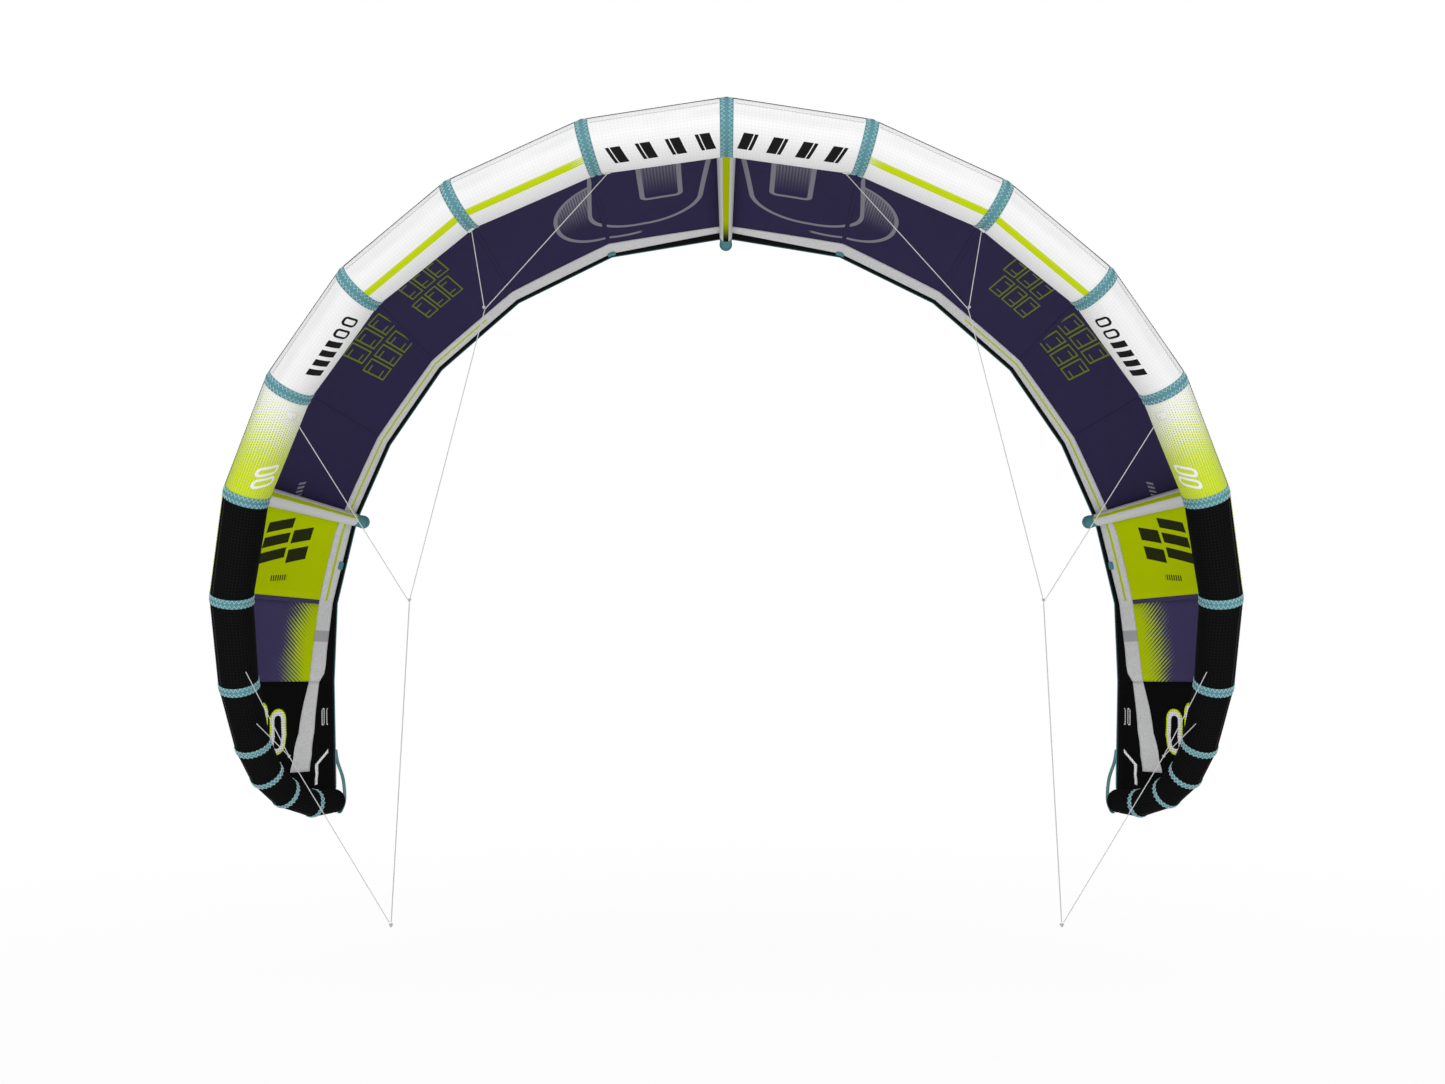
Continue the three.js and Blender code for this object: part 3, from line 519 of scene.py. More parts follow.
def new_finish(name):
    """An empty material and the painter of its nodes."""
    made = bpy.data.materials.new(name)
    made.use_nodes = True
    made.node_tree.nodes.clear()
    return made, Painter(made.node_tree)


def new_group(name, inputs, outputs):
    tree = bpy.data.node_groups.new(name, "ShaderNodeTree")
    for label, value in inputs.items():
        kind = "NodeSocketVector" if value is None else "NodeSocketFloat"
        socket = tree.interface.new_socket(label, in_out="INPUT", socket_type=kind)
        if value is not None:
            socket.default_value = value
    for label in outputs:
        tree.interface.new_socket(label, in_out="OUTPUT", socket_type="NodeSocketFloat")
    painter = Painter(tree)
    entry = painter.node("NodeGroupInput").outputs
    return tree, painter, entry, painter.node("NodeGroupOutput").inputs


# %% Ripstop grid and weave
# Every few millimetres a thicker thread runs each way, which stops a tear from growing.
RIPSTOP, p, i, o = new_group("ripstop", {"X": 0, "Y": 0, "Pitch": 0.007, "Thread": 0.001}, ["Line", "Weave"])


def grid_line(painter, value, pitch, thread):
    cell = painter.math("DIVIDE", value, pitch)
    off = painter.math("ABSOLUTE", painter.math("SUBTRACT", painter.math("FRACT", cell), 0.5))
    reach = painter.math("DIVIDE", thread, pitch)
    return painter.math("LESS_THAN", painter.math("SUBTRACT", 0.5, off), reach)


line = p.either(grid_line(p, i["X"], i["Pitch"], i["Thread"]), grid_line(p, i["Y"], i["Pitch"], i["Thread"]))
fine = p.math("MULTIPLY", i["Thread"], 1.2)
ups = p.math("SINE", p.math("DIVIDE", i["X"], p.math("MULTIPLY", fine, 0.318)))
overs = p.math("SINE", p.math("DIVIDE", i["Y"], p.math("MULTIPLY", fine, 0.318)))
p.put(o["Line"], line)
p.put(o["Weave"], p.math("MULTIPLY_ADD", ups, overs, 1.0))
print("ripstop group with", len(RIPSTOP.nodes), "nodes")

# %% Handled cloth
# Packed and unpacked cloth keeps soft creases, and its shade drifts a little over the panel.
HANDLED, p, i, o = new_group(
    "handled_cloth", {"Place": None, "Size": 1.0, "Drift": 0.05}, ["Shade", "Crease"]
)
broad = p.noise(p.math("MULTIPLY", i["Size"], 2.2), 3.0, i["Place"])
folds = p.node(
    "ShaderNodeTexNoise",
    {"Vector": i["Place"], "Scale": p.math("MULTIPLY", i["Size"], 9.0), "Detail": 4.0, "Distortion": 1.2},
).outputs[0]
ridge = p.math("ABSOLUTE", p.math("SUBTRACT", folds, 0.5))
drift = p.math("MULTIPLY_ADD", p.math("SUBTRACT", broad, 0.5), p.math("MULTIPLY", i["Drift"], 2.0), 1.0)
p.put(o["Shade"], drift)
p.put(o["Crease"], p.math("SUBTRACT", 1.0, p.ramp(ridge, 0.0, 0.06)))
print("handled cloth group with", len(HANDLED.nodes), "nodes")

# %% Halftone screen
# Printed fades are rows of dots that grow until they meet. Amount 0 prints nothing, 1 is solid.
DOTS, p, i, o = new_group("dot_screen", {"X": 0, "Y": 0, "Pitch": 0.008, "Amount": 0.5}, ["Mask"])
x, y = p.math("DIVIDE", i["X"], i["Pitch"]), p.math("DIVIDE", i["Y"], i["Pitch"])
odd = p.math("MULTIPLY", p.math("FLOORED_MODULO", p.math("FLOOR", y), 2.0), 0.5)
dx = p.math("SUBTRACT", p.math("FRACT", p.math("ADD", x, odd)), 0.5)
dy = p.math("SUBTRACT", p.math("FRACT", y), 0.5)
reach = p.math("SQRT", p.math("ADD", p.math("MULTIPLY", dx, dx), p.math("MULTIPLY", dy, dy)))
size = p.math("MULTIPLY", p.math("SQRT", p.math("MAXIMUM", i["Amount"], 0.0)), 0.74)
p.put(o["Mask"], p.ramp(p.math("SUBTRACT", size, reach), -0.03, 0.03))
print("dot screen group with", len(DOTS.nodes), "nodes")

# %% Rounded box
# The distance from a point to a box with round corners, negative inside, in metres.
BOX, p, i, o = new_group(
    "rounded_box",
    {"X": 0, "Y": 0, "Centre X": 0, "Centre Y": 0, "Half X": 0.1, "Half Y": 0.1, "Corner": 0.02, "Slant": 0},
    ["Distance"],
)
down = p.math("SUBTRACT", i["Y"], i["Centre Y"])
over = p.math("SUBTRACT", p.math("SUBTRACT", i["X"], i["Centre X"]), p.math("MULTIPLY", down, i["Slant"]))
qx = p.math("ADD", p.math("SUBTRACT", p.math("ABSOLUTE", over), i["Half X"]), i["Corner"])
qy = p.math("ADD", p.math("SUBTRACT", p.math("ABSOLUTE", down), i["Half Y"]), i["Corner"])
px, py = p.math("MAXIMUM", qx, 0.0), p.math("MAXIMUM", qy, 0.0)
outer = p.math("SQRT", p.math("ADD", p.math("MULTIPLY", px, px), p.math("MULTIPLY", py, py)))
inner = p.math("MINIMUM", p.math("MAXIMUM", qx, qy), 0.0)
p.put(o["Distance"], p.math("SUBTRACT", p.math("ADD", outer, inner), i["Corner"]))
print("rounded box group with", len(BOX.nodes), "nodes")

# %% Row of slanted bars
BARS, p, i, o = new_group(
    "slanted_bars",
    {
        "X": 0, "Y": 0, "Start": 0, "End": 1, "Centre Y": 0,
        "Half Y": 0.02, "Count": 4, "Slant": 0, "Duty": 0.5,
    },
    ["Mask", "Share", "Edge"],
)
down = p.math("SUBTRACT", i["Y"], i["Centre Y"])
over = p.math("SUBTRACT", i["X"], p.math("MULTIPLY", down, i["Slant"]))
share = p.math("DIVIDE", p.math("SUBTRACT", over, i["Start"]), p.math("SUBTRACT", i["End"], i["Start"]))
inside = p.both(p.math("GREATER_THAN", share, 0.0), p.math("LESS_THAN", share, 1.0))
cell = p.math("FRACT", p.math("MULTIPLY", share, i["Count"]))
tall = p.math("LESS_THAN", p.math("ABSOLUTE", down), i["Half Y"])
p.put(o["Mask"], p.both(inside, tall, p.math("LESS_THAN", cell, i["Duty"])))
p.put(o["Share"], cell)
p.put(o["Edge"], p.math("SUBTRACT", 1.0, p.math("DIVIDE", p.math("ABSOLUTE", down), i["Half Y"])))
print("slanted bars group with", len(BARS.nodes), "nodes")


# %% Cloth finish
# One recipe serves every cloth. Its own paint function gives the colour; the recipe adds the
# ripstop grid, the drift of shade, the creases and the bump of the threads.
WHITE = (0.93, 0.93, 0.93)
LIME = (0.60, 0.74, 0.0)
CANOPY_LIME = (0.62, 0.78, 0.0)
NAVY = (0.041, 0.033, 0.094)
VIOLET = (0.072, 0.060, 0.158)
TEAL = (0.115, 0.30, 0.34)
BLACK = (0.0046, 0.0046, 0.0050)
STRIP_WHITE = (0.82, 0.82, 0.83)


def cloth(name, paint, roughness=0.55, sheen=0.0, grid=0.04, pitch=0.007, drift=0.04, bump=0.25, gloss=0.003):
    """paint(painter, place, share, x, y) returns a colour; x and y are metres on the cloth."""
    made, p = new_finish(name)
    place, share = p.uv("plan")
    x, y = p.uv("cloth")
    colour = paint(p, place, share, x, y) if callable(paint) else p.colour(paint)
    weave = p.group(RIPSTOP, X=x, Y=y, Pitch=pitch, Thread=pitch * 0.09)
    used = p.group(HANDLED, Place=p.own(), Drift=drift)
    dark = p.math("SUBTRACT", used.outputs["Shade"], p.math("MULTIPLY", weave.outputs["Line"], grid))
    height = p.math("MULTIPLY_ADD", weave.outputs["Weave"], 0.25, weave.outputs["Line"])
    height = p.math("MULTIPLY_ADD", used.outputs["Crease"], 1.6, height)
    normal = p.node("ShaderNodeBump", {"Height": height, "Strength": bump, "Distance": 0.0006})
    rough = p.math("MULTIPLY_ADD", used.outputs["Crease"], -0.08, roughness)
    rough = p.math("MULTIPLY_ADD", p.noise(14.0), 0.10, p.math("SUBTRACT", rough, 0.05))
    p.surface(
        p.shade(colour, dark), rough, normal,
        Sheen_Weight=sheen, Sheen_Roughness=0.4, Specular_IOR_Level=gloss,
    )
    return made


# %% Prints of the leading edge
# The front of the tube carries bold slanted bars in the middle, a lime stripe on the next two
# lengths, and smaller bars before the lime lengths. The white cloth also gets a band of painted
# shade towards its top. Share is the angle round the tube / 360.
def box_print(p, x, y, centre, half, corner, slant=0.0):
    """The distance from a rounded box, in metres."""
    made = p.group(
        BOX, X=x, Y=y, Centre_X=centre[0], Centre_Y=centre[1],
        Half_X=half[0], Half_Y=half[1], Corner=corner, Slant=slant,
    )
    return made.outputs[0]


def bar_print(p, x, y, start, end, middle, reach, count, slant, duty):
    """Slanted bars from start to end along the cloth."""
    made = p.group(
        BARS, X=x, Y=y, Start=start, End=end,
        Centre_Y=middle, Half_Y=reach, Count=count, Slant=slant, Duty=duty,
    )
    return made.outputs


def white_paint(p, place, share, x, y):
    angle = p.math("MULTIPLY", share, 360.0)
    # Painted shade: a soft grey band from 16 to 36 degrees round the tube, towards its top, broken up by
    # noise.
    painted_shade_bands = p.both(p.between(angle, 16, 36, 9), p.ramp(p.noise(5.0), 0.25, 0.6))
    colour = p.mix(p.math("MULTIPLY", painted_shade_bands, 0.20), WHITE, (0.55, 0.55, 0.57))
    stripe = p.between(angle, -38.5, -23, 0.8)
    fade = p.ramp(place, 1.02, 1.32)
    dots = p.group(DOTS, X=x, Y=y, Pitch=0.0062, Amount=p.math("MULTIPLY_ADD", fade, 1.0, 0.35))
    lengths = p.both(p.math("GREATER_THAN", place, 1.0), p.math("LESS_THAN", place, 3.0))
    colour = p.mix(p.both(stripe, lengths, dots.outputs[0]), colour, LIME)
    for shift, duty in ((0.0, 0.34), (0.034, 0.12)):
        start, end = along_at(0.10) + shift, along_at(0.96) + shift
        bars = bar_print(p, x, y, start, end, -0.051, 0.0275, 4, 0.36, duty)
        colour = p.mix(p.both(bars["Mask"], p.math("LESS_THAN", place, 0.93)), colour, BLACK)
    small = bar_print(p, x, y, along_at(3.42), along_at(3.80), -0.056, 0.024, 4, 0.3, 0.62)
    colour = p.mix(small["Mask"], colour, BLACK)
    for middle in (3.22, 3.34):
        ring = box_print(p, x, y, (along_at(middle), -0.056), (0.017, 0.024), 0.013, 0.25)
        colour = p.mix(p.between(ring, -0.008, 0.0, 0.0006), colour, BLACK)
    return colour


def lime_paint(p, place, share, x, y):
    angle = p.math("MULTIPLY", share, 360.0)
    fade = p.ramp(place, 3.95, 4.86)
    dots = p.group(DOTS, X=x, Y=y, Pitch=0.0085, Amount=p.math("MULTIPLY_ADD", fade, 0.62, 0.03))
    colour = p.mix(dots.outputs[0], WHITE, LIME)
    for middle in (4.69, 4.80):
        ring = box_print(p, x, y, (along_at(middle), -0.050), (0.017, 0.036), 0.017, 0.45)
        colour = p.mix(p.between(ring, -0.009, 0.0, 0.0008), colour, WHITE)
    return colour


FINISH = {
    "white_dacron": cloth("white_dacron", white_paint, 0.6, 0.0, 0.07, 0.0105, gloss=0.15),
    "lime_dacron": cloth("lime_dacron", lime_paint, 0.6, 0.0, 0.08, 0.0105, gloss=0.12),
    "black_dacron": cloth("black_dacron", BLACK, 0.62, 0.0, -1.3, 0.0105, 0.1, gloss=0.004),
}
print(len(FINISH), "finishes of the leading edge")


# %% Prints of the canopy
# x is metres along the leading edge and y metres in front of the trailing edge.
OUTLINE_GREY = (0.30, 0.29, 0.34)
OLIVE = (0.20, 0.26, 0.015)
DARK_INK = (0.03, 0.035, 0.01)
TICK_INK = (0.05, 0.06, 0.01)
PALE_INK = (0.75, 0.75, 0.75)


def hatch(p, x, amount):
    strokes = p.math("SINE", p.math("MULTIPLY", x, 620.0))
    return p.math("MULTIPLY", amount, p.math("MULTIPLY_ADD", strokes, 0.35, 0.65))


def navy_paint(p, place, share, x, y):
    colour = p.colour(NAVY)
    oval = box_print(p, x, y, (0.360, 0.405), (0.240, 0.252), 0.238)
    hoop = box_print(p, x, y, (0.252, 0.620), (0.197, 0.400), 0.180, -0.10)
    band = p.both(p.math("LESS_THAN", oval, 0.0), p.math("GREATER_THAN", hoop, 0.0), p.ramp(x, 0.30, 0.36))
    colour = p.mix(hatch(p, x, p.both(band, p.ramp(y, 0.30, 0.60))), colour, OUTLINE_GREY)
    rim = p.both(p.between(oval, -0.015, 0.0), p.math("GREATER_THAN", hoop, 0.0), p.ramp(x, 0.29, 0.31))
    colour = p.mix(rim, colour, OUTLINE_GREY)
    colour = p.mix(p.between(hoop, -0.016, 0.0), colour, OUTLINE_GREY)
    block = box_print(p, x, y, (0.214, 0.570), (0.071, 0.160), 0.030)
    inside = p.both(p.math("LESS_THAN", block, 0.0), p.ramp(y, 0.42, 0.74))
    colour = p.mix(hatch(p, x, p.math("MULTIPLY", inside, 0.75)), colour, OUTLINE_GREY)
    colour = p.mix(p.between(block, -0.016, 0.0), colour, OUTLINE_GREY)
    for start, end, rear, front, slant in ((2.38, 2.80, 0.355, 0.745, 0.10), (3.02, 3.54, 0.30, 0.705, 0.10)):
        middle, reach = (rear + front) / 2, (front - rear) / 2
        for row in (-0.5, 0.5):
            made = bar_print(
                p, x, y, along_at(start), along_at(end), middle + row * reach, reach * 0.43, 3, slant, 0.86
            )
            cell, edge = made["Share"], made["Edge"]
            rim = p.either(
                p.math("LESS_THAN", cell, 0.085),
                p.between(cell, 0.77, 0.86, 0.003),
                p.math("LESS_THAN", edge, 0.11),
                p.both(p.between(edge, 0.42, 0.52, 0.01), p.math("GREATER_THAN", cell, 0.34)),
            )
            colour = p.mix(p.both(made["Mask"], rim), colour, OLIVE)
    small = bar_print(p, x, y, along_at(4.78), along_at(4.95), 0.46, 0.022, 4, 0.3, 0.55)
    colour = p.mix(small["Mask"], colour, OUTLINE_GREY)
    return panel_seams(p, place, y, colour)


def panel_seams(p, place, y, colour):
    """Darker lines where panels are sewn: across the chord at each seam, and once spanwise."""
    off = p.math("ABSOLUTE", p.math("SUBTRACT", p.math("FRACT", p.math("ADD", place, 0.5)), 0.5))
    line = p.math("LESS_THAN", off, 0.012)
    return p.shade(colour, p.math("SUBTRACT", 1.0, p.math("MULTIPLY", line, 0.22)))


def lime_canopy_paint(p, place, share, x, y):
    colour = p.colour(CANOPY_LIME)
    for start, end, middle, reach, count in (
        (5.20, 5.68, 0.50, 0.085, 3),
        (5.24, 5.66, 0.335, 0.062, 2),
    ):
        made = bar_print(p, x, y, along_at(start), along_at(end), middle, reach, count, 0.22, 0.68)
        colour = p.mix(made["Mask"], colour, DARK_INK)
    small = bar_print(p, x, y, along_at(5.76), along_at(5.82), 0.42, 0.055, 1, 0.1, 1.0)
    ticks = p.math("GREATER_THAN", p.math("SINE", p.math("MULTIPLY", y, 420.0)), -0.2)
    colour = p.mix(p.both(small["Mask"], ticks), colour, TICK_INK)
    return panel_seams(p, place, y, colour)


def violet_paint(p, place, share, x, y):
    edge = p.math("MULTIPLY_ADD", p.math("SUBTRACT", place, 6.0), -0.11, 0.82)
    near, far = p.math("SUBTRACT", edge, 0.20), p.math("ADD", edge, 0.10)
    waver = p.math("MULTIPLY_ADD", p.noise(9.0), 0.12, p.math("SUBTRACT", share, 0.06))
    amount = p.ramp(waver, near, far)
    slope = p.math("ADD", p.math("MULTIPLY", x, 0.8), p.math("MULTIPLY", y, 0.45))
    stroke = p.math("FRACT", p.math("DIVIDE", slope, 0.012))
    ink = p.ramp(p.math("SUBTRACT", p.math("MULTIPLY_ADD", amount, 1.2, -0.1), stroke), -0.15, 0.15)
    return panel_seams(p, place, y, p.mix(ink, VIOLET, CANOPY_LIME))


def black_canopy_paint(p, place, share, x, y):
    colour = p.colour(BLACK)
    for middle, front in ((7.94, 0.325), (7.80, 0.435)):
        ring = box_print(p, x, y, (along_at(middle), front), (0.094, 0.043), 0.042)
        colour = p.mix(p.between(ring, -0.002, 0.006), colour, LIME)
        colour = p.mix(p.between(ring, -0.022, -0.002), colour, PALE_INK)
    for row in (0.040, 0.066):
        bar = box_print(p, x, y, (along_at(7.74), row), (0.040, 0.008), 0.008, 0.5)
        colour = p.mix(p.between(bar, -0.0045, 0.0), colour, (0.62, 0.62, 0.62))
    legs = (((8.72, 0.012), (9.52, 0.101)), ((9.52, 0.101), (10.58, 0.108)))
    for (place_a, rear_a), (place_b, rear_b) in legs:
        a, b = along_at(place_a), along_at(place_b)
        slope = (rear_b - rear_a) / (b - a)
        target = p.math("MULTIPLY_ADD", p.math("SUBTRACT", x, a), slope, rear_a)
        off = p.math("ABSOLUTE", p.math("SUBTRACT", y, target))
        reach = 0.0075 * math.sqrt(1 + slope * slope)
        line = p.both(p.math("LESS_THAN", off, reach), p.between(x, a, b, 0.001))
        colour = p.mix(line, colour, PALE_INK)
    fleck = box_print(p, x, y, (along_at(9.62), 0.026), (0.016, 0.009), 0.004, 0.6)
    return p.mix(p.math("LESS_THAN", fleck, 0.0), colour, LIME)


CROSS_TAPE = (0.5, 0.5, 0.52)


def strip_paint(p, place, share, x, y):
    grain = p.math("MULTIPLY_ADD", p.noise(170.0, 4.0), 0.6, 0.70)
    colour = p.shade(p.colour(STRIP_WHITE), grain)
    lengths = p.both(p.math("GREATER_THAN", place, 2.35), p.math("LESS_THAN", place, 5.98))
    line = p.both(p.between(share, 0.41, 0.57, 0.01), lengths)
    cross_tape = p.both(p.between(place, 6.36, 6.50, 0.01), p.between(share, 0.0, 1.0))
    colour = p.mix(cross_tape, colour, CROSS_TAPE)
    return p.mix(line, colour, LIME)


FINISH["navy_canopy"] = cloth("navy_canopy", navy_paint, 0.5, 0.0, 0.10, 0.006, 0.06)
FINISH["lime_canopy"] = cloth("lime_canopy", lime_canopy_paint, 0.5, 0.0, 0.08, 0.006, 0.06)
FINISH["violet_canopy"] = cloth("violet_canopy", violet_paint, 0.5, 0.0, 0.10, 0.006, 0.06)
FINISH["black_canopy"] = cloth("black_canopy", black_canopy_paint, 0.5, 0.0, -1.0, 0.0105, 0.1)
FINISH["grey_dacron"] = cloth("grey_dacron", strip_paint, 0.65, 0.0, 0.05)
print(len(FINISH), "finishes with the canopy's")

# %% Plain finishes: tape, struts, webbing
def strut_paint_for(reach_front, reach_rear, middle, fade, sleeve):
    """The strut's lime stripe runs along its underside; share is the angle round it / 360."""

    def paint(p, place, share, x, y):
        off = p.math("ABSOLUTE", p.math("SUBTRACT", share, middle))
        reach = p.math("MULTIPLY_ADD", place, reach_rear - reach_front, reach_front)
        stripe = p.math("LESS_THAN", off, reach)
        colour = p.mix(stripe, (0.80, 0.80, 0.81), (0.50, 0.62, 0.0))
        if fade:
            colour = p.mix(p.both(stripe, p.ramp(place, 0.83, 0.95)), colour, BLACK)
            ticks = p.math("GREATER_THAN", p.math("SINE", p.math("MULTIPLY", x, 330.0)), 0.0)
            mark = p.both(p.math("LESS_THAN", off, 0.018), p.between(place, 0.13, 0.25), ticks)
            colour = p.mix(mark, colour, (0.06, 0.07, 0.01))
        return p.mix(p.math("GREATER_THAN", place, sleeve), colour, TEAL)

    return paint


FINISH["centre_strut"] = cloth("centre_strut_dacron", strut_paint_for(0.052, 0.070, 0.5, True, 0.957), 0.6)
FINISH["side_strut"] = cloth("side_strut_dacron", strut_paint_for(0.040, 0.032, 0.57, False, 0.935), 0.6)
FINISH["teal_tape"] = cloth("teal_tape", TEAL, 0.6, 0.0, -0.12, 0.003, 0.05, 0.4)
FINISH["teal_webbing"] = cloth("teal_webbing", (0.17, 0.34, 0.37), 0.7, 0.1, -0.25, 0.002, 0.06, 0.7)


def moulded(name, colour, roughness, grain=90.0):
    made, p = new_finish(name)
    used = p.group(HANDLED, Place=p.own(), Size=8.0, Drift=0.12)
    texture = p.noise(grain * 10, 2.0)
    height = p.node("ShaderNodeBump", {"Height": texture, "Strength": 0.25, "Distance": 0.0002})
    rough = p.math("MULTIPLY_ADD", texture, 0.12, roughness - 0.06)
    p.surface(p.shade(p.colour(colour), used.outputs["Shade"]), rough, height)
    return made


FINISH["valve_plastic"] = moulded("valve_plastic", (0.012, 0.012, 0.014), 0.42)
FINISH["clip_plastic"] = moulded("clip_plastic", (0.012, 0.012, 0.014), 0.48)
FINISH["hose"] = moulded("hose", (0.35, 0.36, 0.37), 0.4, 40.0)
FINISH["clear_film"] = moulded("clear_film", (0.62, 0.66, 0.68), 0.25, 20.0)
FINISH["thread"] = moulded("thread", (0.50, 0.72, 0.74), 0.6, 200.0)
FINISH["grey_thread"] = moulded("grey_thread", (0.42, 0.42, 0.44), 0.6, 200.0)
FINISH["white_thread"] = moulded("white_thread", (0.70, 0.70, 0.71), 0.6, 200.0)
FINISH["dark_thread"] = moulded("dark_thread", (0.045, 0.045, 0.05), 0.6, 200.0)


def braided(name, colour):
    """Line braided from fine strands: short diagonal waves in two directions."""
    made, p = new_finish(name)
    parts = p.node("ShaderNodeSeparateXYZ", {0: p.own()})
    climb = p.math("MULTIPLY", parts.outputs[2], 2200.0)
    across = p.math("MULTIPLY", p.math("ADD", parts.outputs[0], parts.outputs[1]), 2600.0)
    one_way = p.math("SINE", p.math("ADD", climb, across))
    other_way = p.math("SINE", p.math("SUBTRACT", climb, across))
    strands = p.math("MULTIPLY", one_way, other_way)
    used = p.group(HANDLED, Place=p.own(), Size=6.0, Drift=0.1)
    shade = p.math("MULTIPLY_ADD", strands, 0.14, used.outputs["Shade"])
    height = p.node("ShaderNodeBump", {"Height": strands, "Strength": 0.4, "Distance": 0.0003})
    p.surface(p.shade(p.colour(colour), shade), p.math("MULTIPLY_ADD", strands, 0.05, 0.62), height)
    return made


FINISH["bridle_line"] = braided("bridle_line", (0.58, 0.58, 0.58))
for line, route, thick, end in lines.values():
    line.data.materials.append(FINISH["bridle_line"])
print(len(FINISH), "finishes in all")

# %% [markdown]
# ## Leading edge
#
# The tube is straight between its seams and round all over, with a little pucker where each
# length is sewn to the next. It is lofted from rings: many close to a seam, few between.

# %% Casings
TUBE_SIDES = 96
TURNS = np.linspace(-180, 180, TUBE_SIDES + 1)
RING_STEPS = (0.0, 0.003, 0.007, 0.013, 0.021, 0.032, 0.048, 0.07, 0.1)


def casing_places(first, last):
    """Along distances from first to last seam, close together next to each seam."""
    found = set()
    for a in range(math.floor(first), math.ceil(last)):
        start, end = along_signed(a), along_signed(a + 1)
        room = (end - start) / 2
        for step in RING_STEPS:
            if step < room * 0.95:
                found |= {round(start + step, 6), round(end - step, 6)}
        found |= {round(start + room, 6)}
    low, high = along_signed(first), along_signed(last)
    return [x for x in sorted(found | {round(low, 6), round(high, 6)}) if low - 1e-6 <= x <= high + 1e-6]


def along_signed(place):
    return math.copysign(along_at(place), place) if place else 0.0


def place_signed(along):
    return math.copysign(place_at(abs(along)), along) if along else 0.0


def casing_lift(along, turns):
    """The pucker at a seam and the slight swell of the air between seams."""
    gap = float(np.min(np.abs(ALONG - abs(along))))
    number = int(np.argmin(np.abs(ALONG - abs(along))))
    pinch = -0.0016 * math.exp(-((gap / 0.011) ** 2))
    phase = np.radians(turns)
    wave = np.cos(26 * phase + number * 1.7) * 0.6 + np.cos(41 * phase + number) * 0.4
    waves = 0.0007 * wave * math.exp(-gap / 0.045) * min(1.0, gap / 0.012)
    return pinch + waves + 0.0007 * min(1.0, gap / 0.1)


def casing_ring(along):
    return on_tube(place_signed(along), TURNS[:-1], casing_lift(along, TURNS[:-1]))


def tube_layers(alongs, radii):
    plan = [[(abs(place_signed(a)), turn / 360) for turn in TURNS] for a in alongs]
    metres = [[(abs(a), math.radians(turn) * r) for turn in TURNS] for a, r in zip(alongs, radii)]
    return plan, metres


def radius_at(place):
    return float(blend_at(place, lambda s: s.radius))


def casing(name, first, last, nose=0):
    alongs = casing_places(first, last)
    rings = [casing_ring(a) for a in alongs]
    radii = [radius_at(place_signed(a)) for a in alongs]
    if nose:
        tip, side = seams[TIP], nose
        turn = np.radians(TURNS[:-1])[:, None]
        spokes = tip.front * np.cos(turn) + tip.out * np.sin(turn)
        extra, extra_along = [], []
        for angle in np.radians([8, 18, 28, 38, 48, 58, 68, 77, 85]):
            ring = tip.centre + (tip.axis * math.sin(angle) + spokes * math.cos(angle)) * tip.radius
            extra.append(ring * [side, 1, 1])
            extra_along.append(side * (ALONG[TIP] - 1e-6))
        if side > 0:
            rings, alongs = rings + extra, alongs + extra_along
            radii = radii + [tip.radius] * len(extra)
        else:
            rings, alongs = extra[::-1] + rings, extra_along + alongs
            radii = [tip.radius] * len(extra) + radii
    plan, metres = tube_layers(alongs, radii)
    return sewn(name, rings, plan, metres, tube=True)


piece = casing("casing_centre", -LIME_SEAM, LIME_SEAM)
fit(piece, "white_dacron", FINISH["white_dacron"], "leading_edge_centre")
for word, side in SIDES.items():
    ends = sorted((side * LIME_SEAM, side * STRUT_SEAM))
    piece = casing(f"casing_side_{word}", *ends)
    fit(piece, "lime_dacron", FINISH["lime_dacron"], f"leading_edge_side_{word}")
    ends = sorted((side * STRUT_SEAM, side * TIP))
    piece = casing(f"casing_tip_{word}", *ends, nose=side)
    fit(piece, "black_dacron", FINISH["black_dacron"], f"leading_edge_tip_{word}")
print("casing middle radius", round(radius_at(0), 4), "m")

# %% Bands over the seams
BAND_WIDTHS = [0.040, 0.039, 0.039, 0.038, 0.037, 0.034, 0.030, 0.030, 0.022, 0.018, 0.017, 0.016]
BAND_LIFT = 0.0004
BAND_THICKNESS = 0.0012


def seam_band(name, number, side):
    reach = BAND_WIDTHS[number] / 2
    across = np.array([-1, -0.97, -0.5, 0, 0.5, 0.97, 1.0]) * reach
    lifts = BAND_LIFT + BAND_THICKNESS * np.array([0.35, 1, 1.05, 0.7, 1.05, 1, 0.35])
    middle = along_signed(side * number)
    section = [(middle + a, lift) for a, lift in zip(across, lifts)]
    section += [(middle + a, BAND_LIFT) for a in across[::-1][1:-1]]
    turns = TURNS[:-1]
    rows = np.stack([on_tube(place_signed(a), turns, lift) for a, lift in section], 1)
    radius = radius_at(number)
    metres = [[(a, math.radians(turn) * radius) for a, lift in section + section[:1]] for turn in TURNS]
    return sewn(name, rows, None, metres, tube=True, ring=True)


for number in range(TIP):
    for tail, side in halves(number == 0):
        name = f"seam_band_{number}{tail}" if number else "seam_band_centre"
        piece = seam_band(name.replace("seam_band", "seam_tape"), number, side)
        fit(piece, "teal_tape", FINISH["teal_tape"], *([name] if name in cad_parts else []))
print(TIP * 2 - 1, "bands")

# %% [markdown]
# ## Canopy
#
# The canopy is one curved skin, cut in seven panels that share their edges. Between two seams
# the wind bellies it out a little, and its front edge lies on the tube, where it is sewn down.

# %% Panels
PANEL_ROWS = 44
BAY_COLUMNS = 10
SKIN = 0.0012
# Where the skin laps onto the tube: turn from its seam in degrees, and height over the tube.
WRAP = ((-26, 0.0016), (-18, 0.0017), (-10, 0.0022), (-4, 0.0028))


def leave_angle(place):
    return float(blend_at(place, lambda s: s.leave))


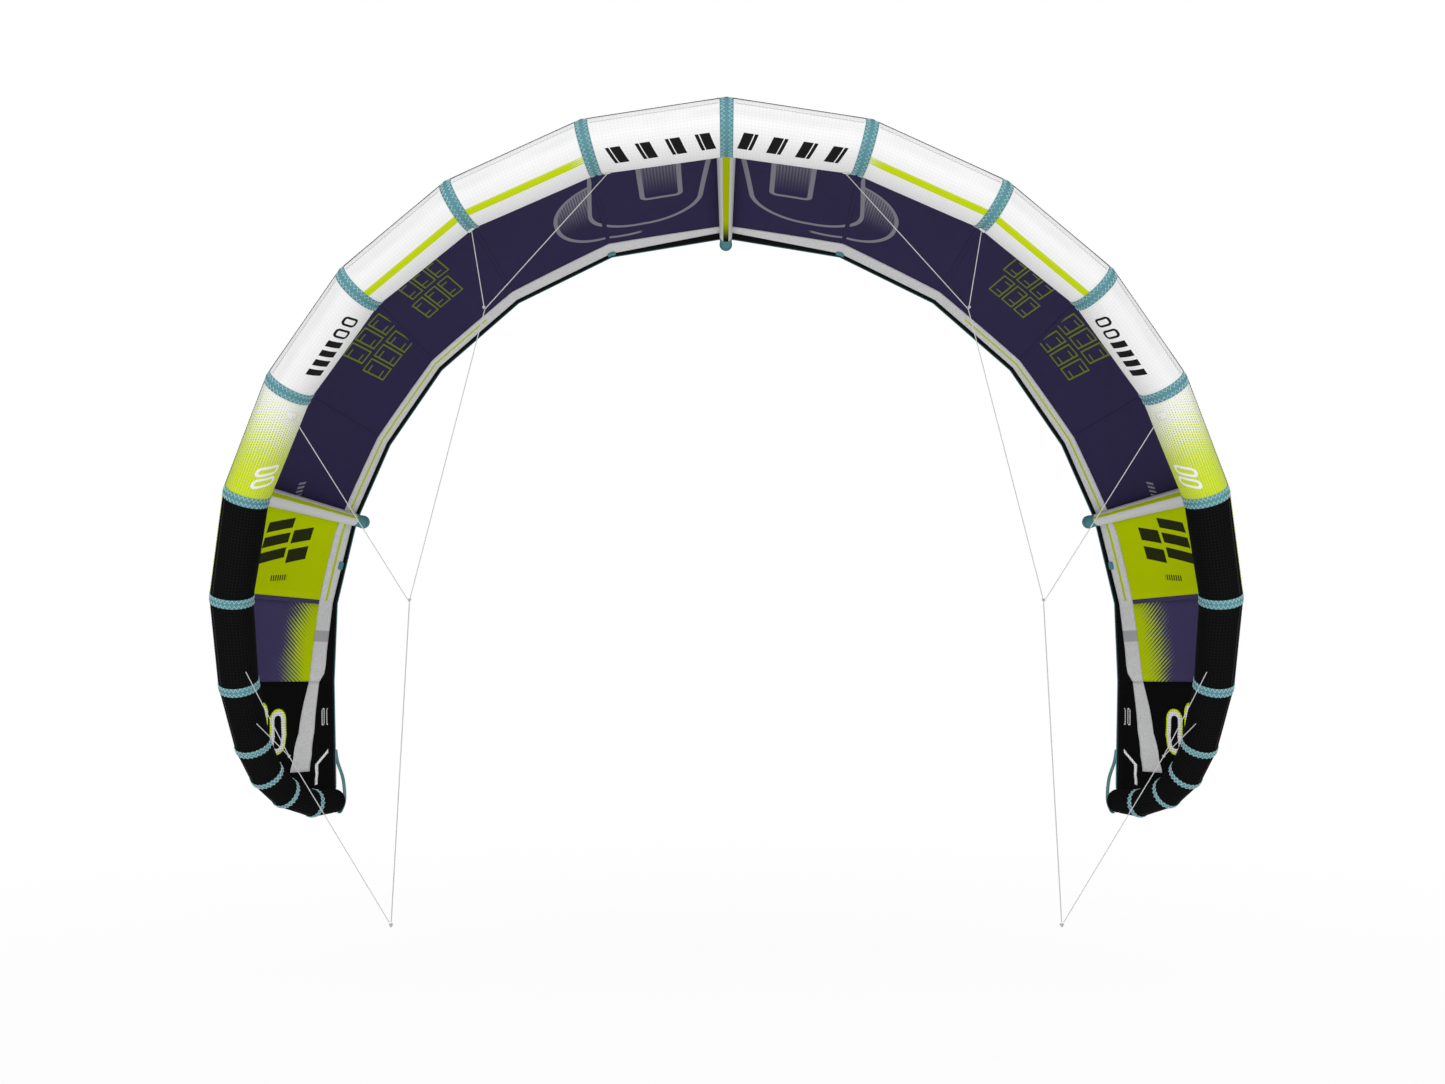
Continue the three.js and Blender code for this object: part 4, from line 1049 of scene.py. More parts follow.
def spread(first, last, per_bay=BAY_COLUMNS):
    """Places from first to last with the same number of steps in each bay."""
    marks = sorted({first, last, *[n for n in range(math.ceil(first), math.floor(last) + 1)]})
    places = [float(marks[0])]
    for a, b in zip(marks[:-1], marks[1:]):
        steps = max(2, round(per_bay * (b - a)))
        places += [a + (b - a) * (k + 1) / steps for k in range(steps)]
    return places


def panel_rows(place):
    shares = np.linspace(0, 1, PANEL_ROWS)
    wrap = [on_tube(place, leave_angle(place) + turn, lift) for turn, lift in WRAP]
    skin = on_canopy(place, shares)
    chord = chord_at(place)
    points = np.vstack([np.array(wrap), skin])
    plan = [(abs(place), 0.0)] * len(WRAP) + [(abs(place), v) for v in shares]
    reach = [chord + 0.02 * (len(WRAP) - k) for k in range(len(WRAP))]
    metres = [(along_at(place), d) for d in reach] + [(along_at(place), (1 - v) * chord) for v in shares]
    return points, plan, metres


def area_of(points):
    one, other = points[1:, 1:] - points[:-1, :-1], points[1:, :-1] - points[:-1, 1:]
    return float(np.linalg.norm(np.cross(one, other), axis=-1).sum()) / 2


sheets = []


def canopy_panel(name, first, last, slot, node):
    rows = [panel_rows(place) for place in spread(first, last)]
    points = np.array([row[0] for row in rows])
    piece = sewn(name, points, [row[1] for row in rows], [row[2] for row in rows])
    thicken(piece, SKIN)
    fit(piece, slot, FINISH[slot], node)
    edges = [length_of(points[:, k]) for k in range(points.shape[1])]
    sheets.append((piece, max(edges), max(length_of(row) for row in points), area_of(points)))
    return piece


canopy_panel("skin_centre", -STRUT_SEAM, STRUT_SEAM, "navy_canopy", "canopy_centre")
for word, side in SIDES.items():
    for name, first, last, slot, node in (
        ("skin_side", STRUT_SEAM, VIOLET_SEAM, "lime_canopy", "canopy_side"),
        ("skin_outer", VIOLET_SEAM, TIP_SEAM, "violet_canopy", "canopy_outer"),
        ("skin_tip", TIP_SEAM, TIP, "black_canopy", "canopy_tip"),
    ):
        ends = sorted((side * first, side * last))
        canopy_panel(f"{name}_{word}", *ends, slot, f"{node}_{word}")
for piece, wide, long, area in sheets:
    print(piece.name, "flat", round(wide, 3), "x", round(long, 3), "m, area", round(area, 3))

# %% [markdown]
# ## Trailing edge
#
# A load strip spreads the pull along the rear of the canopy, and a black hem with a teal
# piping closes its edge. The strip and the hem lie under and round the skin, so both are
# written as distances in front of the trailing edge.

# %% Load strip, hem and piping
# Seam numbers, and the strip's distances in front of the trailing edge there.
STRIP_FRONTS = ([0, 1, 2, 5, 5.16, 6.04, 6.74, 7.0], [0.108, 0.116, 0.107, 0.112, 0.128, 0.122, 0.143, 0.156])
STRIP_REARS = (
    [0, 0.9, 1, 3, 5, 6, 6.6, 6.88, 7.0],
    [0.060, 0.036, 0.034, 0.034, 0.031, 0.034, 0.055, 0.060, 0.092],
)
STRIP_UNDER = -0.0016
STRIP_THICKNESS = 0.0012
HEM_GAP = 0.0006
HEM_WIDTH = 0.034
HEM_TIP_WIDTH = 0.040
HEM_HALF = 0.00175


def off_tail(place, distance, lift=0.0):
    return on_canopy(place, 1 - np.asarray(distance, float) / chord_at(place), lift)


def under_strip(name, places_and_edges, lift, thickness, columns=9):
    """A strip under the skin; each row is a place with its front and rear distance."""
    rows, plan, metres = [], [], []
    for place, front, rear in places_and_edges:
        distances = np.linspace(front, rear, columns)
        rows.append(off_tail(place, distances, lift))
        plan.append([(abs(place), k / (columns - 1)) for k in range(columns)])
        metres.append([(along_at(place), d) for d in distances])
    return thicken(sewn(name, rows, plan, metres), thickness)


def strip_row(place):
    return place, float(np.interp(abs(place), *STRIP_FRONTS)), float(np.interp(abs(place), *STRIP_REARS))


rows = [strip_row(x) for x in spread(-TIP_SEAM, TIP_SEAM)]
strip = under_strip("load_strip_cloth", rows, STRIP_UNDER, STRIP_THICKNESS)
fit(strip, "grey_dacron", FINISH["grey_dacron"], "load_strip")
for word, side in SIDES.items():
    rows = []
    for k in range(25):
        t = k / 24
        front_place = place_at(ALONG[TIP_SEAM] + (along_at(9.52) - ALONG[TIP_SEAM]) * t)
        rear_place = place_at(ALONG[TIP_SEAM] + (along_at(9.74) - ALONG[TIP_SEAM]) * t)
        row = []
        for s in np.linspace(0, 1, 9):
            place = front_place + (rear_place - front_place) * s
            far = np.interp(t, [0, 1], [0.156, 0.250])
            near = np.interp(t, [0, 1], [0.094, 0.142])
            row.append(off_tail(side * place, [far + (near - far) * s], STRIP_UNDER)[0])
        rows.append(row)
    wedge = thicken(sewn(f"tip_strip_{word}", rows), STRIP_THICKNESS)
    fit(wedge, "grey_dacron", FINISH["grey_dacron"])


def hem_section(place):
    """A folded tape round the edge: the upper side, the round fold and the under side."""
    wide = HEM_TIP_WIDTH
    if abs(place) <= TIP_SEAM:
        wide = max(strip_row(place)[2] - HEM_GAP, HEM_WIDTH)
    half = HEM_HALF
    across = [wide, wide * 0.75, wide * 0.5, wide * 0.25, 0.003]
    fold = [(0.0012, 0.9), (0.0002, 0.5), (0.0, 0.0), (0.0002, -0.5), (0.0012, -0.9)]
    upper, under = [(d, half) for d in across], [(d, -half) for d in across[::-1]]
    return upper + [(d, half * h) for d, h in fold] + under


def swept(name, places, section_at):
    rows, metres = [], []
    for place in places:
        section = section_at(place)
        rows.append([off_tail(place, [d], lift)[0] for d, lift in section])
        around = [d + (0.05 if lift < 0 else 0) for d, lift in section]
        metres.append([(along_at(place), d) for d in around + around[:1]])
    return sewn(name, rows, None, metres, tube=True)


hem = swept("hem_tape", spread(-TIP, TIP), hem_section)
fit(hem, "black_dacron", FINISH["black_dacron"], "trailing_edge_binding")


def piping_section(place):
    turns = np.radians(np.arange(0, 360, 30))
    return [(0.0022 - 0.0040 * math.cos(a), 0.0026 * math.sin(a)) for a in turns]


piping = swept("edge_piping", spread(-TIP, TIP), piping_section)
fit(piping, "teal_tape", FINISH["teal_tape"])
print("trailing edge", round(length_of([off_tail(x, [0.0])[0] for x in spread(-TIP, TIP)]), 3), "m")


# %% Teal tabs on the trailing edge
def patch(name, point_at, half_x, half_y, count, plan=None):
    """A small patch of tape with round corners; point_at says where (x, y) metres lie."""
    steps = np.linspace(-1, 1, count)
    rows, metres = [], []
    for a in steps:
        flat = []
        for b in steps:
            reach = max(abs(a), abs(b)) / max(1e-6, (abs(a) ** 5 + abs(b) ** 5) ** 0.2)
            flat.append((a * reach * half_x, b * reach * half_y))
        rows.append([point_at(x, y) for x, y in flat])
        metres.append(flat)
    return thicken(sewn(name, rows, plan, metres), 0.0012)


for word, side in SIDES.items():
    for number, (place, off) in enumerate(((1.0, 0.034), (5.56, 0.041)), 1):

        def on_edge(x, y):
            return off_tail(side * place_at(along_at(place) + x), [off + y], -0.0040)[0]

        piece = patch(f"edge_tab_{number}_{word}", on_edge, 0.016, 0.014, 11)
        fit(piece, "teal_tape", FINISH["teal_tape"])

# %% Tapes over the canopy's seams
for word, side in SIDES.items():
    for number in (1, 2, 3, 4, 6):
        rows, metres = [], []
        for v in np.linspace(0.10, 1 - 0.112 / chord_at(number), 40):
            row, flat = [], []
            for d in np.linspace(-0.008, 0.008, 5):
                place = side * place_at(along_at(number) + d)
                row.append(on_canopy(place, np.array([v]), -0.0011)[0])
                flat.append((d, v * chord_at(number)))
            rows.append(row)
            metres.append(flat)
        plan = [[(number + 0.1, 0.02)] * 5] * 40
        piece = thicken(sewn(f"skin_seam_{number}_{word}", rows, plan, metres), 0.0006)
        slot = "navy_canopy" if number < 5 else "violet_canopy"
        fit(piece, slot, FINISH[slot])
print("canopy seam tapes done")

# %% [markdown]
# ## Struts
#
# Three stiff tubes hang under the canopy from the leading edge to the trailing edge. Each is
# lofted along its seam of the canopy and starts on the skin of the leading edge, so its first
# ring is found column by column, where the strut's flank comes out of the big tube.

# %% Strut tubes
STRUTS = {"centre_strut": (0, 0.084, 0.043), "side_strut": (STRUT_SEAM, 0.074, 0.044)}
STRUT_STOP = 0.008
STRUT_SEAT = 0.00445
STRUT_TURNS = np.linspace(0, 360, 49)
CAP_STEP = 0.0015


def strut_line(number, front, rear):
    """Centres, radii and directions of the strut at many shares of its length."""
    seam = seams[number]
    shares = np.linspace(0, 1 - STRUT_STOP / chord_at(number), 240)
    skin = seam_profile(seam, shares)
    side = unit(np.cross(seam.tail - seam.head, seam.normal))
    axis = unit(np.gradient(skin, axis=0))
    up = unit(np.cross(side, axis))
    radius = (front + (rear - front) * shares) / 2
    centre = skin - up * (radius + STRUT_SEAT)[:, None]
    return shares, centre, radius, axis, side, up


def tube_clearance(points, number, lift):
    """How far points are outside the leading edge tube near one seam."""
    seam = seams[number]
    ahead = seams[number + 1].centre
    behind = seams[number - 1].centre if number else ahead * [-1, 1, 1]
    gaps = []
    for other in (ahead, behind):
        leg = other - seam.centre
        t = np.clip((points - seam.centre) @ leg / (leg @ leg), 0, 1)
        gaps.append(np.linalg.norm(points - seam.centre - t[..., None] * leg, axis=-1))
    return np.min(gaps, axis=0) - seam.radius - lift


def flanks(up, side):
    """Directions round the strut, for each of its centres."""
    turns = np.radians(STRUT_TURNS[:-1])[None, :, None]
    return np.cos(turns) * up[:, None] + np.sin(turns) * side


def strut_rings(number, front, rear, count=56):
    shares, centre, radius, axis, side, up = strut_line(number, front, rear)
    flank = flanks(up, side)
    skin = centre[:, None] + flank * radius[:, None, None]
    clear = tube_clearance(skin, number, 0.0022)
    rings = np.empty((count, skin.shape[1], 3))
    for k in range(rings.shape[1]):
        inside = np.where(clear[:, k] < 0)[0]
        start = shares[inside[-1]] if len(inside) else shares[0]
        steps = start + (shares[-1] - start) * np.linspace(0, 1, count)
        for xyz in range(3):
            rings[:, k, xyz] = np.interp(steps, shares, skin[:, k, xyz])
    return rings, (centre[-1], radius[-1], axis[-1], side, up[-1])


def round_ring(end, radius, shift):
    centre, _, axis, side, up = end
    turns = np.radians(STRUT_TURNS[:-1])[:, None]
    return centre + axis * shift + (up * np.cos(turns) + side * np.sin(turns)) * radius


def strut_layers(rings, chord):
    shares = np.linspace(0, 1, len(rings))
    plan = [[(share, turn / 360) for turn in STRUT_TURNS] for share in shares]
    metres = [[(share * chord, math.radians(turn) * 0.035) for turn in STRUT_TURNS] for share in shares]
    return plan, metres


def strut_cap_rings(end):
    radius = end[1] + CAP_STEP
    rings = [round_ring(end, radius - 0.001, 0.0002), round_ring(end, radius, 0.0012)]
    rings.append(round_ring(end, radius, 0.010))
    for angle in np.radians([12, 25, 38, 50, 61, 72, 82, 88]):
        rings.append(round_ring(end, radius * math.cos(angle), 0.010 + 0.020 * math.sin(angle)))
    return rings


for label, (number, front, rear) in STRUTS.items():
    for tail, side in halves(number == 0):
        rings, end = strut_rings(number, front, rear)
        mirror = np.array([side, 1, 1])
        piece = sewn(f"{label}_tube{tail}", rings * mirror, *strut_layers(rings, chord_at(number)), tube=True)
        fit(piece, "strut_dacron", FINISH[label], f"{label}{tail}")
        piece = sewn(f"{label}_end{tail}", np.array(strut_cap_rings(end)) * mirror, tube=True)
        fit(piece, "teal_tape", FINISH["teal_tape"], f"{label}_cap{tail}")
        print(piece.name, "at", (end[0] * mirror).round(3))

# %% Bladders in the struts
# Each strut holds an air bladder a little thinner than the tube, with rounded ends.
BLADDER_GAP = 0.0035
END_SCALES = (0.35, 0.70, 0.92)


def bladder_rings(number, front, rear):
    shares, centre, radius, axis, side, up = strut_line(number, front, rear)
    flank = flanks(up, side)
    reach = (radius - BLADDER_GAP)[:, None, None]
    clear = tube_clearance(centre[:, None] + flank * reach, number, 0.003).min(axis=1)
    first, last = np.where(clear < 0)[0][-1] + 1, len(shares) - 2
    middle = np.linspace(first + 7, last - 7, 30).astype(int)
    picks = [first, first + 1, first + 3, *middle, last - 3, last - 1, last]
    scales = np.array([*END_SCALES, *([1.0] * len(middle)), *END_SCALES[::-1]])
    return centre[picks, None] + flank[picks] * reach[picks] * scales[:, None, None]


for label, (number, front, rear) in STRUTS.items():
    for tail, side in halves(number == 0):
        rings = bladder_rings(number, front, rear) * [side, 1, 1]
        piece = sewn(f"{label}_air{tail}", rings, tube=True)
        fit(piece, "clear_film", FINISH["clear_film"], f"{label}_bladder{tail}")
        print(piece.name, len(rings), "rings")

# %% Bladder in the leading edge
LONG_GAP = 0.004
BAY_STEPS = 6
places = np.arange(-TIP * BAY_STEPS + 1, TIP * BAY_STEPS) / BAY_STEPS
rings = [[on_tube(x, turn, -LONG_GAP) for turn in STRUT_TURNS[:-1]] for x in places]
piece = sewn("leading_edge_air", rings, tube=True)
fit(piece, "clear_film", FINISH["clear_film"], "leading_edge_bladder")
print(piece.name, len(rings), "rings")

# %% Hoses
# The frame's own hoses, welded and shaded round; the corners of the clip's bed stay sharp.
SHARP = math.radians(50)
for node in ("centre_hose", "side_hose_right", "side_hose_left"):
    work = bmesh.new()
    work.from_mesh(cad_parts[node].data)
    bmesh.ops.remove_doubles(work, verts=work.verts, dist=0.00002)
    bmesh.ops.recalc_face_normals(work, faces=work.faces)
    for face in work.faces:
        face.smooth = True
    for edge in work.edges:
        edge.smooth = edge.is_manifold and edge.calc_face_angle() < SHARP
    data = bpy.data.meshes.new(f"{node}_skin")
    work.to_mesh(data)
    work.free()
    piece = bpy.data.objects.new(f"{node}_skin", data)
    bpy.context.scene.collection.objects.link(piece)
    fit(piece, "hose", FINISH["hose"], node)
    print(piece.name, len(data.polygons), "faces")

# %% [markdown]
# ## Tip straps
#
# A flat webbing loop runs from the trailing edge round the tip of the tube. The steering line
# is fastened to it. It is a ribbon with round edges, swept along a smooth curve.

# %% Straps
STRAP_WIDTH = 0.012
STRAP_THICKNESS = 0.0024


def smooth_path(points, count):
    """A Catmull-Rom curve through the points."""
    points = np.asarray(points, float)
    ends = np.vstack([2 * points[0] - points[1], points, 2 * points[-1] - points[-2]])
    found = []
    for i in range(len(points) - 1):
        a, b, c, d = ends[i : i + 4]
        square, cube = 2 * a - 5 * b + 4 * c - d, 3 * b - a - 3 * c + d
        for t in np.linspace(0, 1, count, endpoint=False):
            found.append(0.5 * (2 * b + (c - a) * t + square * t**2 + cube * t**3))
    return np.array([*found, points[-1]])


def strap_route():
    hem_point = on_canopy(9, np.array([1.0]))[0]
    nose = seams[TIP].centre + seams[TIP].axis * seams[TIP].radius
    return smooth_path(
        [
            hem_point + [0, 0.0064, 0],
            hem_point + [-0.004, 0.024, -0.045],
            hem_point * 0.4 + nose * 0.6 + [-0.006, 0.050, -0.004],
            nose + [-0.004, 0.040, -0.002],
            nose + [0.002, 0.008, -0.036],
            nose + [0.006, -0.020, -0.0435],
        ],
        14,
    )


def ribbon(name, route, across, width, thickness):
    tangent = unit(np.gradient(route, axis=0))
    face = unit(np.cross(tangent, across))
    flat = unit(np.cross(face, tangent))
    profile = [(1, 0), (0.97, 0.8), (0.9, 1), (0.45, 1), (0, 1), (-0.45, 1), (-0.9, 1), (-0.97, 0.8)]
    profile += [(-a, -b) for a, b in profile]
    rows = [
        [p + f * a * width / 2 + n * b * thickness / 2 for a, b in profile]
        for p, f, n in zip(route, flat, face)
    ]
    run = np.concatenate([[0], np.cumsum(np.linalg.norm(np.diff(route, axis=0), axis=1))])
    metres = [[(s, a * width / 2) for a, b in profile + profile[:1]] for s in run]
    return sewn(name, rows, None, metres, tube=True)


strap = strap_route()
for word, side in SIDES.items():
    route = strap * [side, 1, 1]
    piece = ribbon(f"tip_webbing_{word}", route, np.array([1.0, 0, 0]), STRAP_WIDTH, STRAP_THICKNESS)
    fit(piece, "teal_webbing", FINISH["teal_webbing"], f"tip_strap_{word}")
print("strap", round(length_of(strap), 3), "m")

# %% [markdown]
# ## Knots and bridle tabs
#
# Each place where lines meet is a small knot, and each line leaves the tube from a tab of tape.
# A knot is a thick line tied in a trefoil; that one closed curve reads as a pulled knot.

# %% Knots
def knot(name, centre, size, thick):
    t = np.linspace(0, 2 * np.pi, 72, endpoint=False)
    line = np.stack([np.sin(t) + 2 * np.sin(2 * t), np.cos(t) - 2 * np.cos(2 * t), -1.4 * np.sin(3 * t)], -1)
    line = line / 3.0 * size
    tangent = unit(np.roll(line, -1, 0) - np.roll(line, 1, 0))
    across = unit(np.cross(tangent, [0.3, 0.2, 1.0]))
    up = np.cross(tangent, across)
    a = np.linspace(0, 2 * np.pi, 8, endpoint=False)[None, :, None]
    rows = line[:, None] + (across[:, None] * np.cos(a) + up[:, None] * np.sin(a)) * thick / 2
    return sewn(name, rows[:, :, [0, 2, 1]] + centre, tube=True, ring=True)


KNOTS = {
    "flying_line": ((1.046, 0.265, -2.441), 0.0058, 0.0034),
    "front_join": ((0.737, 0.074, -0.534), 0.0042, 0.0026),
    "leader_join": ((0.973, 0.1475, -1.425), 0.0050, 0.0030),
    "rear_join": ((1.397, 0.446, -1.931), 0.0042, 0.0026),
}
for word, side in SIDES.items():
    for name, (centre, size, thick) in KNOTS.items():
        piece = knot(f"{name}_loop_{word}", mirrored(centre, side), size, thick)
        node = [f"flying_line_knot_{word}"] if name == "flying_line" else []
        fit(piece, "bridle_line", FINISH["bridle_line"], *node)

# %% Bridle tabs on the tube
TAB_PLAN = (3.99, 0.4)
TABS = {"front_bridle": (0.92, 262), "second_bridle": (2.02, 270), "middle_bridle": (4.16, 314),
        "rear_bridle": (6.77, 326), "tail_bridle": (7.54, 322)}
for word, side in SIDES.items():
    for name, (place, angle) in TABS.items():

        def on_casing(x, y):
            turn = angle + math.degrees(y / radius_at(place))
            return on_tube(side * place_at(along_at(place) + x), turn, 0.0026)

        plan = np.full((9, 9, 2), TAB_PLAN)
        piece = patch(f"{name}_tab_{word}", on_casing, 0.011, 0.016, 9, plan)
        slot = "lime_dacron" if place < STRUT_SEAM else "black_dacron"
        slot = "white_dacron" if place < LIME_SEAM else slot
        fit(piece, slot, FINISH[slot])
print(2 * len(TABS), "bridle tabs")

# %% [markdown]
# ## Stitches
#
# Geometry Nodes sew. A stitch row is a chain of edges that knows which way is across, kept as
# an attribute. The zigzag tree resamples it by the pitch and moves every other point across;
# the running tree lays one short round stitch at each step.

# %% Zigzag and running stitch
def stitch_tree(name, zigzag):
    tree = bpy.data.node_groups.new(name, "GeometryNodeTree")
    face = tree.interface
    face.new_socket("Rows", in_out="INPUT", socket_type="NodeSocketGeometry")
    for label, value in (("Pitch", 0.010), ("Reach", 0.004), ("Thread", 0.0012)):
        face.new_socket(label, in_out="INPUT", socket_type="NodeSocketFloat").default_value = value
    face.new_socket("Thread finish", in_out="INPUT", socket_type="NodeSocketMaterial")
    face.new_socket("Stitches", in_out="OUTPUT", socket_type="NodeSocketGeometry")
    p = Painter(tree)
    given = p.node("NodeGroupInput").outputs
    chain = p.node("GeometryNodeMeshToCurve", {"Mesh": given["Rows"]}).outputs[0]
    step = p.math("MULTIPLY", given["Pitch"], 0.5 if zigzag else 1.0)
    spaced = p.node("GeometryNodeResampleCurve", {"Curve": chain}, mode="LENGTH")
    p.put(spaced.inputs["Length"], step)
    if zigzag:
        across = p.node("GeometryNodeInputNamedAttribute", {"Name": "across"}, data_type="FLOAT_VECTOR")
        odd = p.math("FLOORED_MODULO", p.node("GeometryNodeInputIndex").outputs[0], 2.0)
        swing = p.math("MULTIPLY", p.math("SUBTRACT", odd, 0.5), p.math("MULTIPLY", given["Reach"], 2.0))
        offset = p.node("ShaderNodeVectorMath", {0: across.outputs[0]}, operation="SCALE")
        p.put(offset.inputs["Scale"], swing)
        inputs = {"Geometry": spaced.outputs[0], "Offset": offset.outputs[0]}
        bent = p.node("GeometryNodeSetPosition", inputs).outputs[0]
        inputs = {"Resolution": 5, "Radius": p.math("MULTIPLY", given["Thread"], 0.5)}
        round_thread = p.node("GeometryNodeCurvePrimitiveCircle", inputs).outputs[0]
        sewn_rows = p.node(
            "GeometryNodeCurveToMesh", {"Curve": bent, "Profile Curve": round_thread, "Fill Caps": True}
        ).outputs[0]
    else:
        inputs = {"Vertices": 6, "Radius": p.math("MULTIPLY", given["Thread"], 0.5)}
        inputs["Depth"] = p.math("MULTIPLY", given["Pitch"], 0.62)
        one = p.node("GeometryNodeMeshCylinder", inputs).outputs[0]
        tangent = p.node("GeometryNodeInputTangent").outputs[0]
        turn = p.node("FunctionNodeAlignRotationToVector", {"Vector": tangent}, axis="Z").outputs[0]
        inputs = {"Points": spaced.outputs[0], "Instance": one, "Rotation": turn}
        sewn_rows = p.node("GeometryNodeInstanceOnPoints", inputs).outputs[0]
    real = p.node("GeometryNodeRealizeInstances", {0: sewn_rows}).outputs[0]
    inputs = {"Geometry": real, "Material": given["Thread finish"]}
    done = p.node("GeometryNodeSetMaterial", inputs).outputs[0]
    p.put(p.node("NodeGroupOutput").inputs[0], done)
    return tree


ZIGZAG = stitch_tree("zigzag_stitch", True)
RUNNING = stitch_tree("running_stitch", False)


def sew(name, rows, tree, finish, slot, **sizes):
    """rows is a list of (points, across); returns one plain mesh piece of stitches."""
    points = np.vstack([row for row, _ in rows])
    across = np.vstack([unit(np.broadcast_to(a, r.shape)) for r, a in rows])
    edges, first = [], 0
    for row, _ in rows:
        edges += [(first + k, first + k + 1) for k in range(len(row) - 1)]
        first += len(row)
    data = bpy.data.meshes.new(name + "_rows")
    data.from_pydata(points.tolist(), edges, [])
    data.attributes.new("across", "FLOAT_VECTOR", "POINT").data.foreach_set("vector", across.ravel())
    guide = bpy.data.objects.new(name + "_rows", data)
    bpy.context.scene.collection.objects.link(guide)
    stitches = guide.modifiers.new("stitches", "NODES")
    stitches.node_group = tree
    sizes = {key.capitalize(): value for key, value in sizes.items()} | {"Thread finish": FINISH[finish]}
    for socket in tree.interface.items_tree:
        if socket.in_out == "INPUT" and socket.name in sizes:
            stitches[socket.identifier] = sizes[socket.name]
    bpy.context.view_layer.update()
    made = bpy.data.meshes.new_from_object(guide.evaluated_get(bpy.context.evaluated_depsgraph_get()))
    guide.modifiers.clear()
    bpy.data.objects.remove(guide)
    piece = bpy.data.objects.new(name, made)
    made.name = name
    bpy.context.scene.collection.objects.link(piece)
    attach(piece, BODY)
    print(name, len(made.polygons), "faces")
    return piece


def tube_row(place_along, lift, turns):
    """A stitch row round the tube, with the tube's own direction as across."""
    points = on_tube(place_signed(place_along), turns, lift)
    ahead = on_tube(place_signed(place_along + 0.001), turns, lift)
    return points, ahead - points


# %% Stitch rows of the bands
TURN_STEPS = np.linspace(-180, 178, 172)
band_rows = []
for number in range(TIP):
    for _, side in halves(number == 0):
        for off in (-0.29, 0.29):
            along = along_signed(side * number) + off * BAND_WIDTHS[number]
            band_rows.append(tube_row(along, BAND_LIFT + BAND_THICKNESS + 0.0003, TURN_STEPS))
sew("band_stitches", band_rows, ZIGZAG, "thread", "teal_tape", pitch=0.0145, reach=0.0058, thread=0.0027)

# %% Stitch rows of the casings, the canopy's edge and the trailing edge
FINE = {"reach": 0.003, "thread": 0.0012}
CLOSING_TURN = 49.0  # degrees round the tube
END_ROOM = 0.024
for kind, first, last, finish in (
    ("white", 0, LIME_SEAM, "grey_thread"),
    ("lime", LIME_SEAM, STRUT_SEAM, "white_thread"),
    ("black", STRUT_SEAM, TIP, "dark_thread"),
):
    rows = []
    for side in (1, -1):
        for number in range(first, last):
            alongs = np.linspace(ALONG[number] + END_ROOM, ALONG[number + 1] - END_ROOM, 24) * side
            points = np.array([on_tube(place_signed(a), CLOSING_TURN, 0.0012) for a in alongs])
            above = np.array([on_tube(place_signed(a), CLOSING_TURN + 2, 0.0012) for a in alongs])
            rows.append((points, above - points))
    sew(f"casing_seam_{kind}", rows, ZIGZAG, finish, f"{kind}_dacron", pitch=0.011, **FINE)


def tail_row(first, last, distance, lift):
    places = spread(first, last, 8)
    points = np.array([off_tail(x, [distance(abs(x))], lift)[0] for x in places])
    ahead = np.array([off_tail(x, [distance(abs(x)) + 0.002], lift)[0] for x in places])
    return points, ahead - points


strip_rows = [
    tail_row(-TIP_SEAM, TIP_SEAM, lambda x: float(np.interp(x, *STRIP_FRONTS)) - 0.004, -0.0024),
    tail_row(-TIP_SEAM, TIP_SEAM, lambda x: float(np.interp(x, *STRIP_REARS)) + 0.005, -0.0024),
]
hem_rows = [tail_row(-TIP, TIP, lambda x: 0.012, -0.0019), tail_row(-TIP, TIP, lambda x: 0.012, 0.0019)]
head_rows = []
for side in (1, -1):
    for number in range(TIP):
        places = [side * (number + k / 12) for k in range(13)]
        points = np.array([on_tube(x, leave_angle(x) - 22, 0.0026) for x in places])
        ahead = np.array([on_tube(x, leave_angle(x) - 20, 0.0026) for x in places])
        head_rows.append((points, ahead - points))
sew("strip_stitches", strip_rows, RUNNING, "white_thread", "grey_dacron", pitch=0.006, thread=0.0011)
sew("hem_stitches", hem_rows, RUNNING, "dark_thread", "black_dacron", pitch=0.006, thread=0.0011)
sew("head_stitches", head_rows, ZIGZAG, "dark_thread", "black_dacron", pitch=0.010, **FINE)

# %% Finishes of the moulded parts, which keep the frame's own solids
KEPT = {
    "valve_base": "valve_plastic", "valve_insert": "valve_plastic", "valve_cap": "valve_plastic",
    "centre_clip_lever": "clip_plastic", "side_clip_lever_right": "clip_plastic",
    "side_clip_lever_left": "clip_plastic",
}
for node, slot in KEPT.items():
    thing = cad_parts[node]
    thing.data.materials.clear()
    thing.data.materials.append(FINISH[slot])
print(len(KEPT), "solids keep their shape")
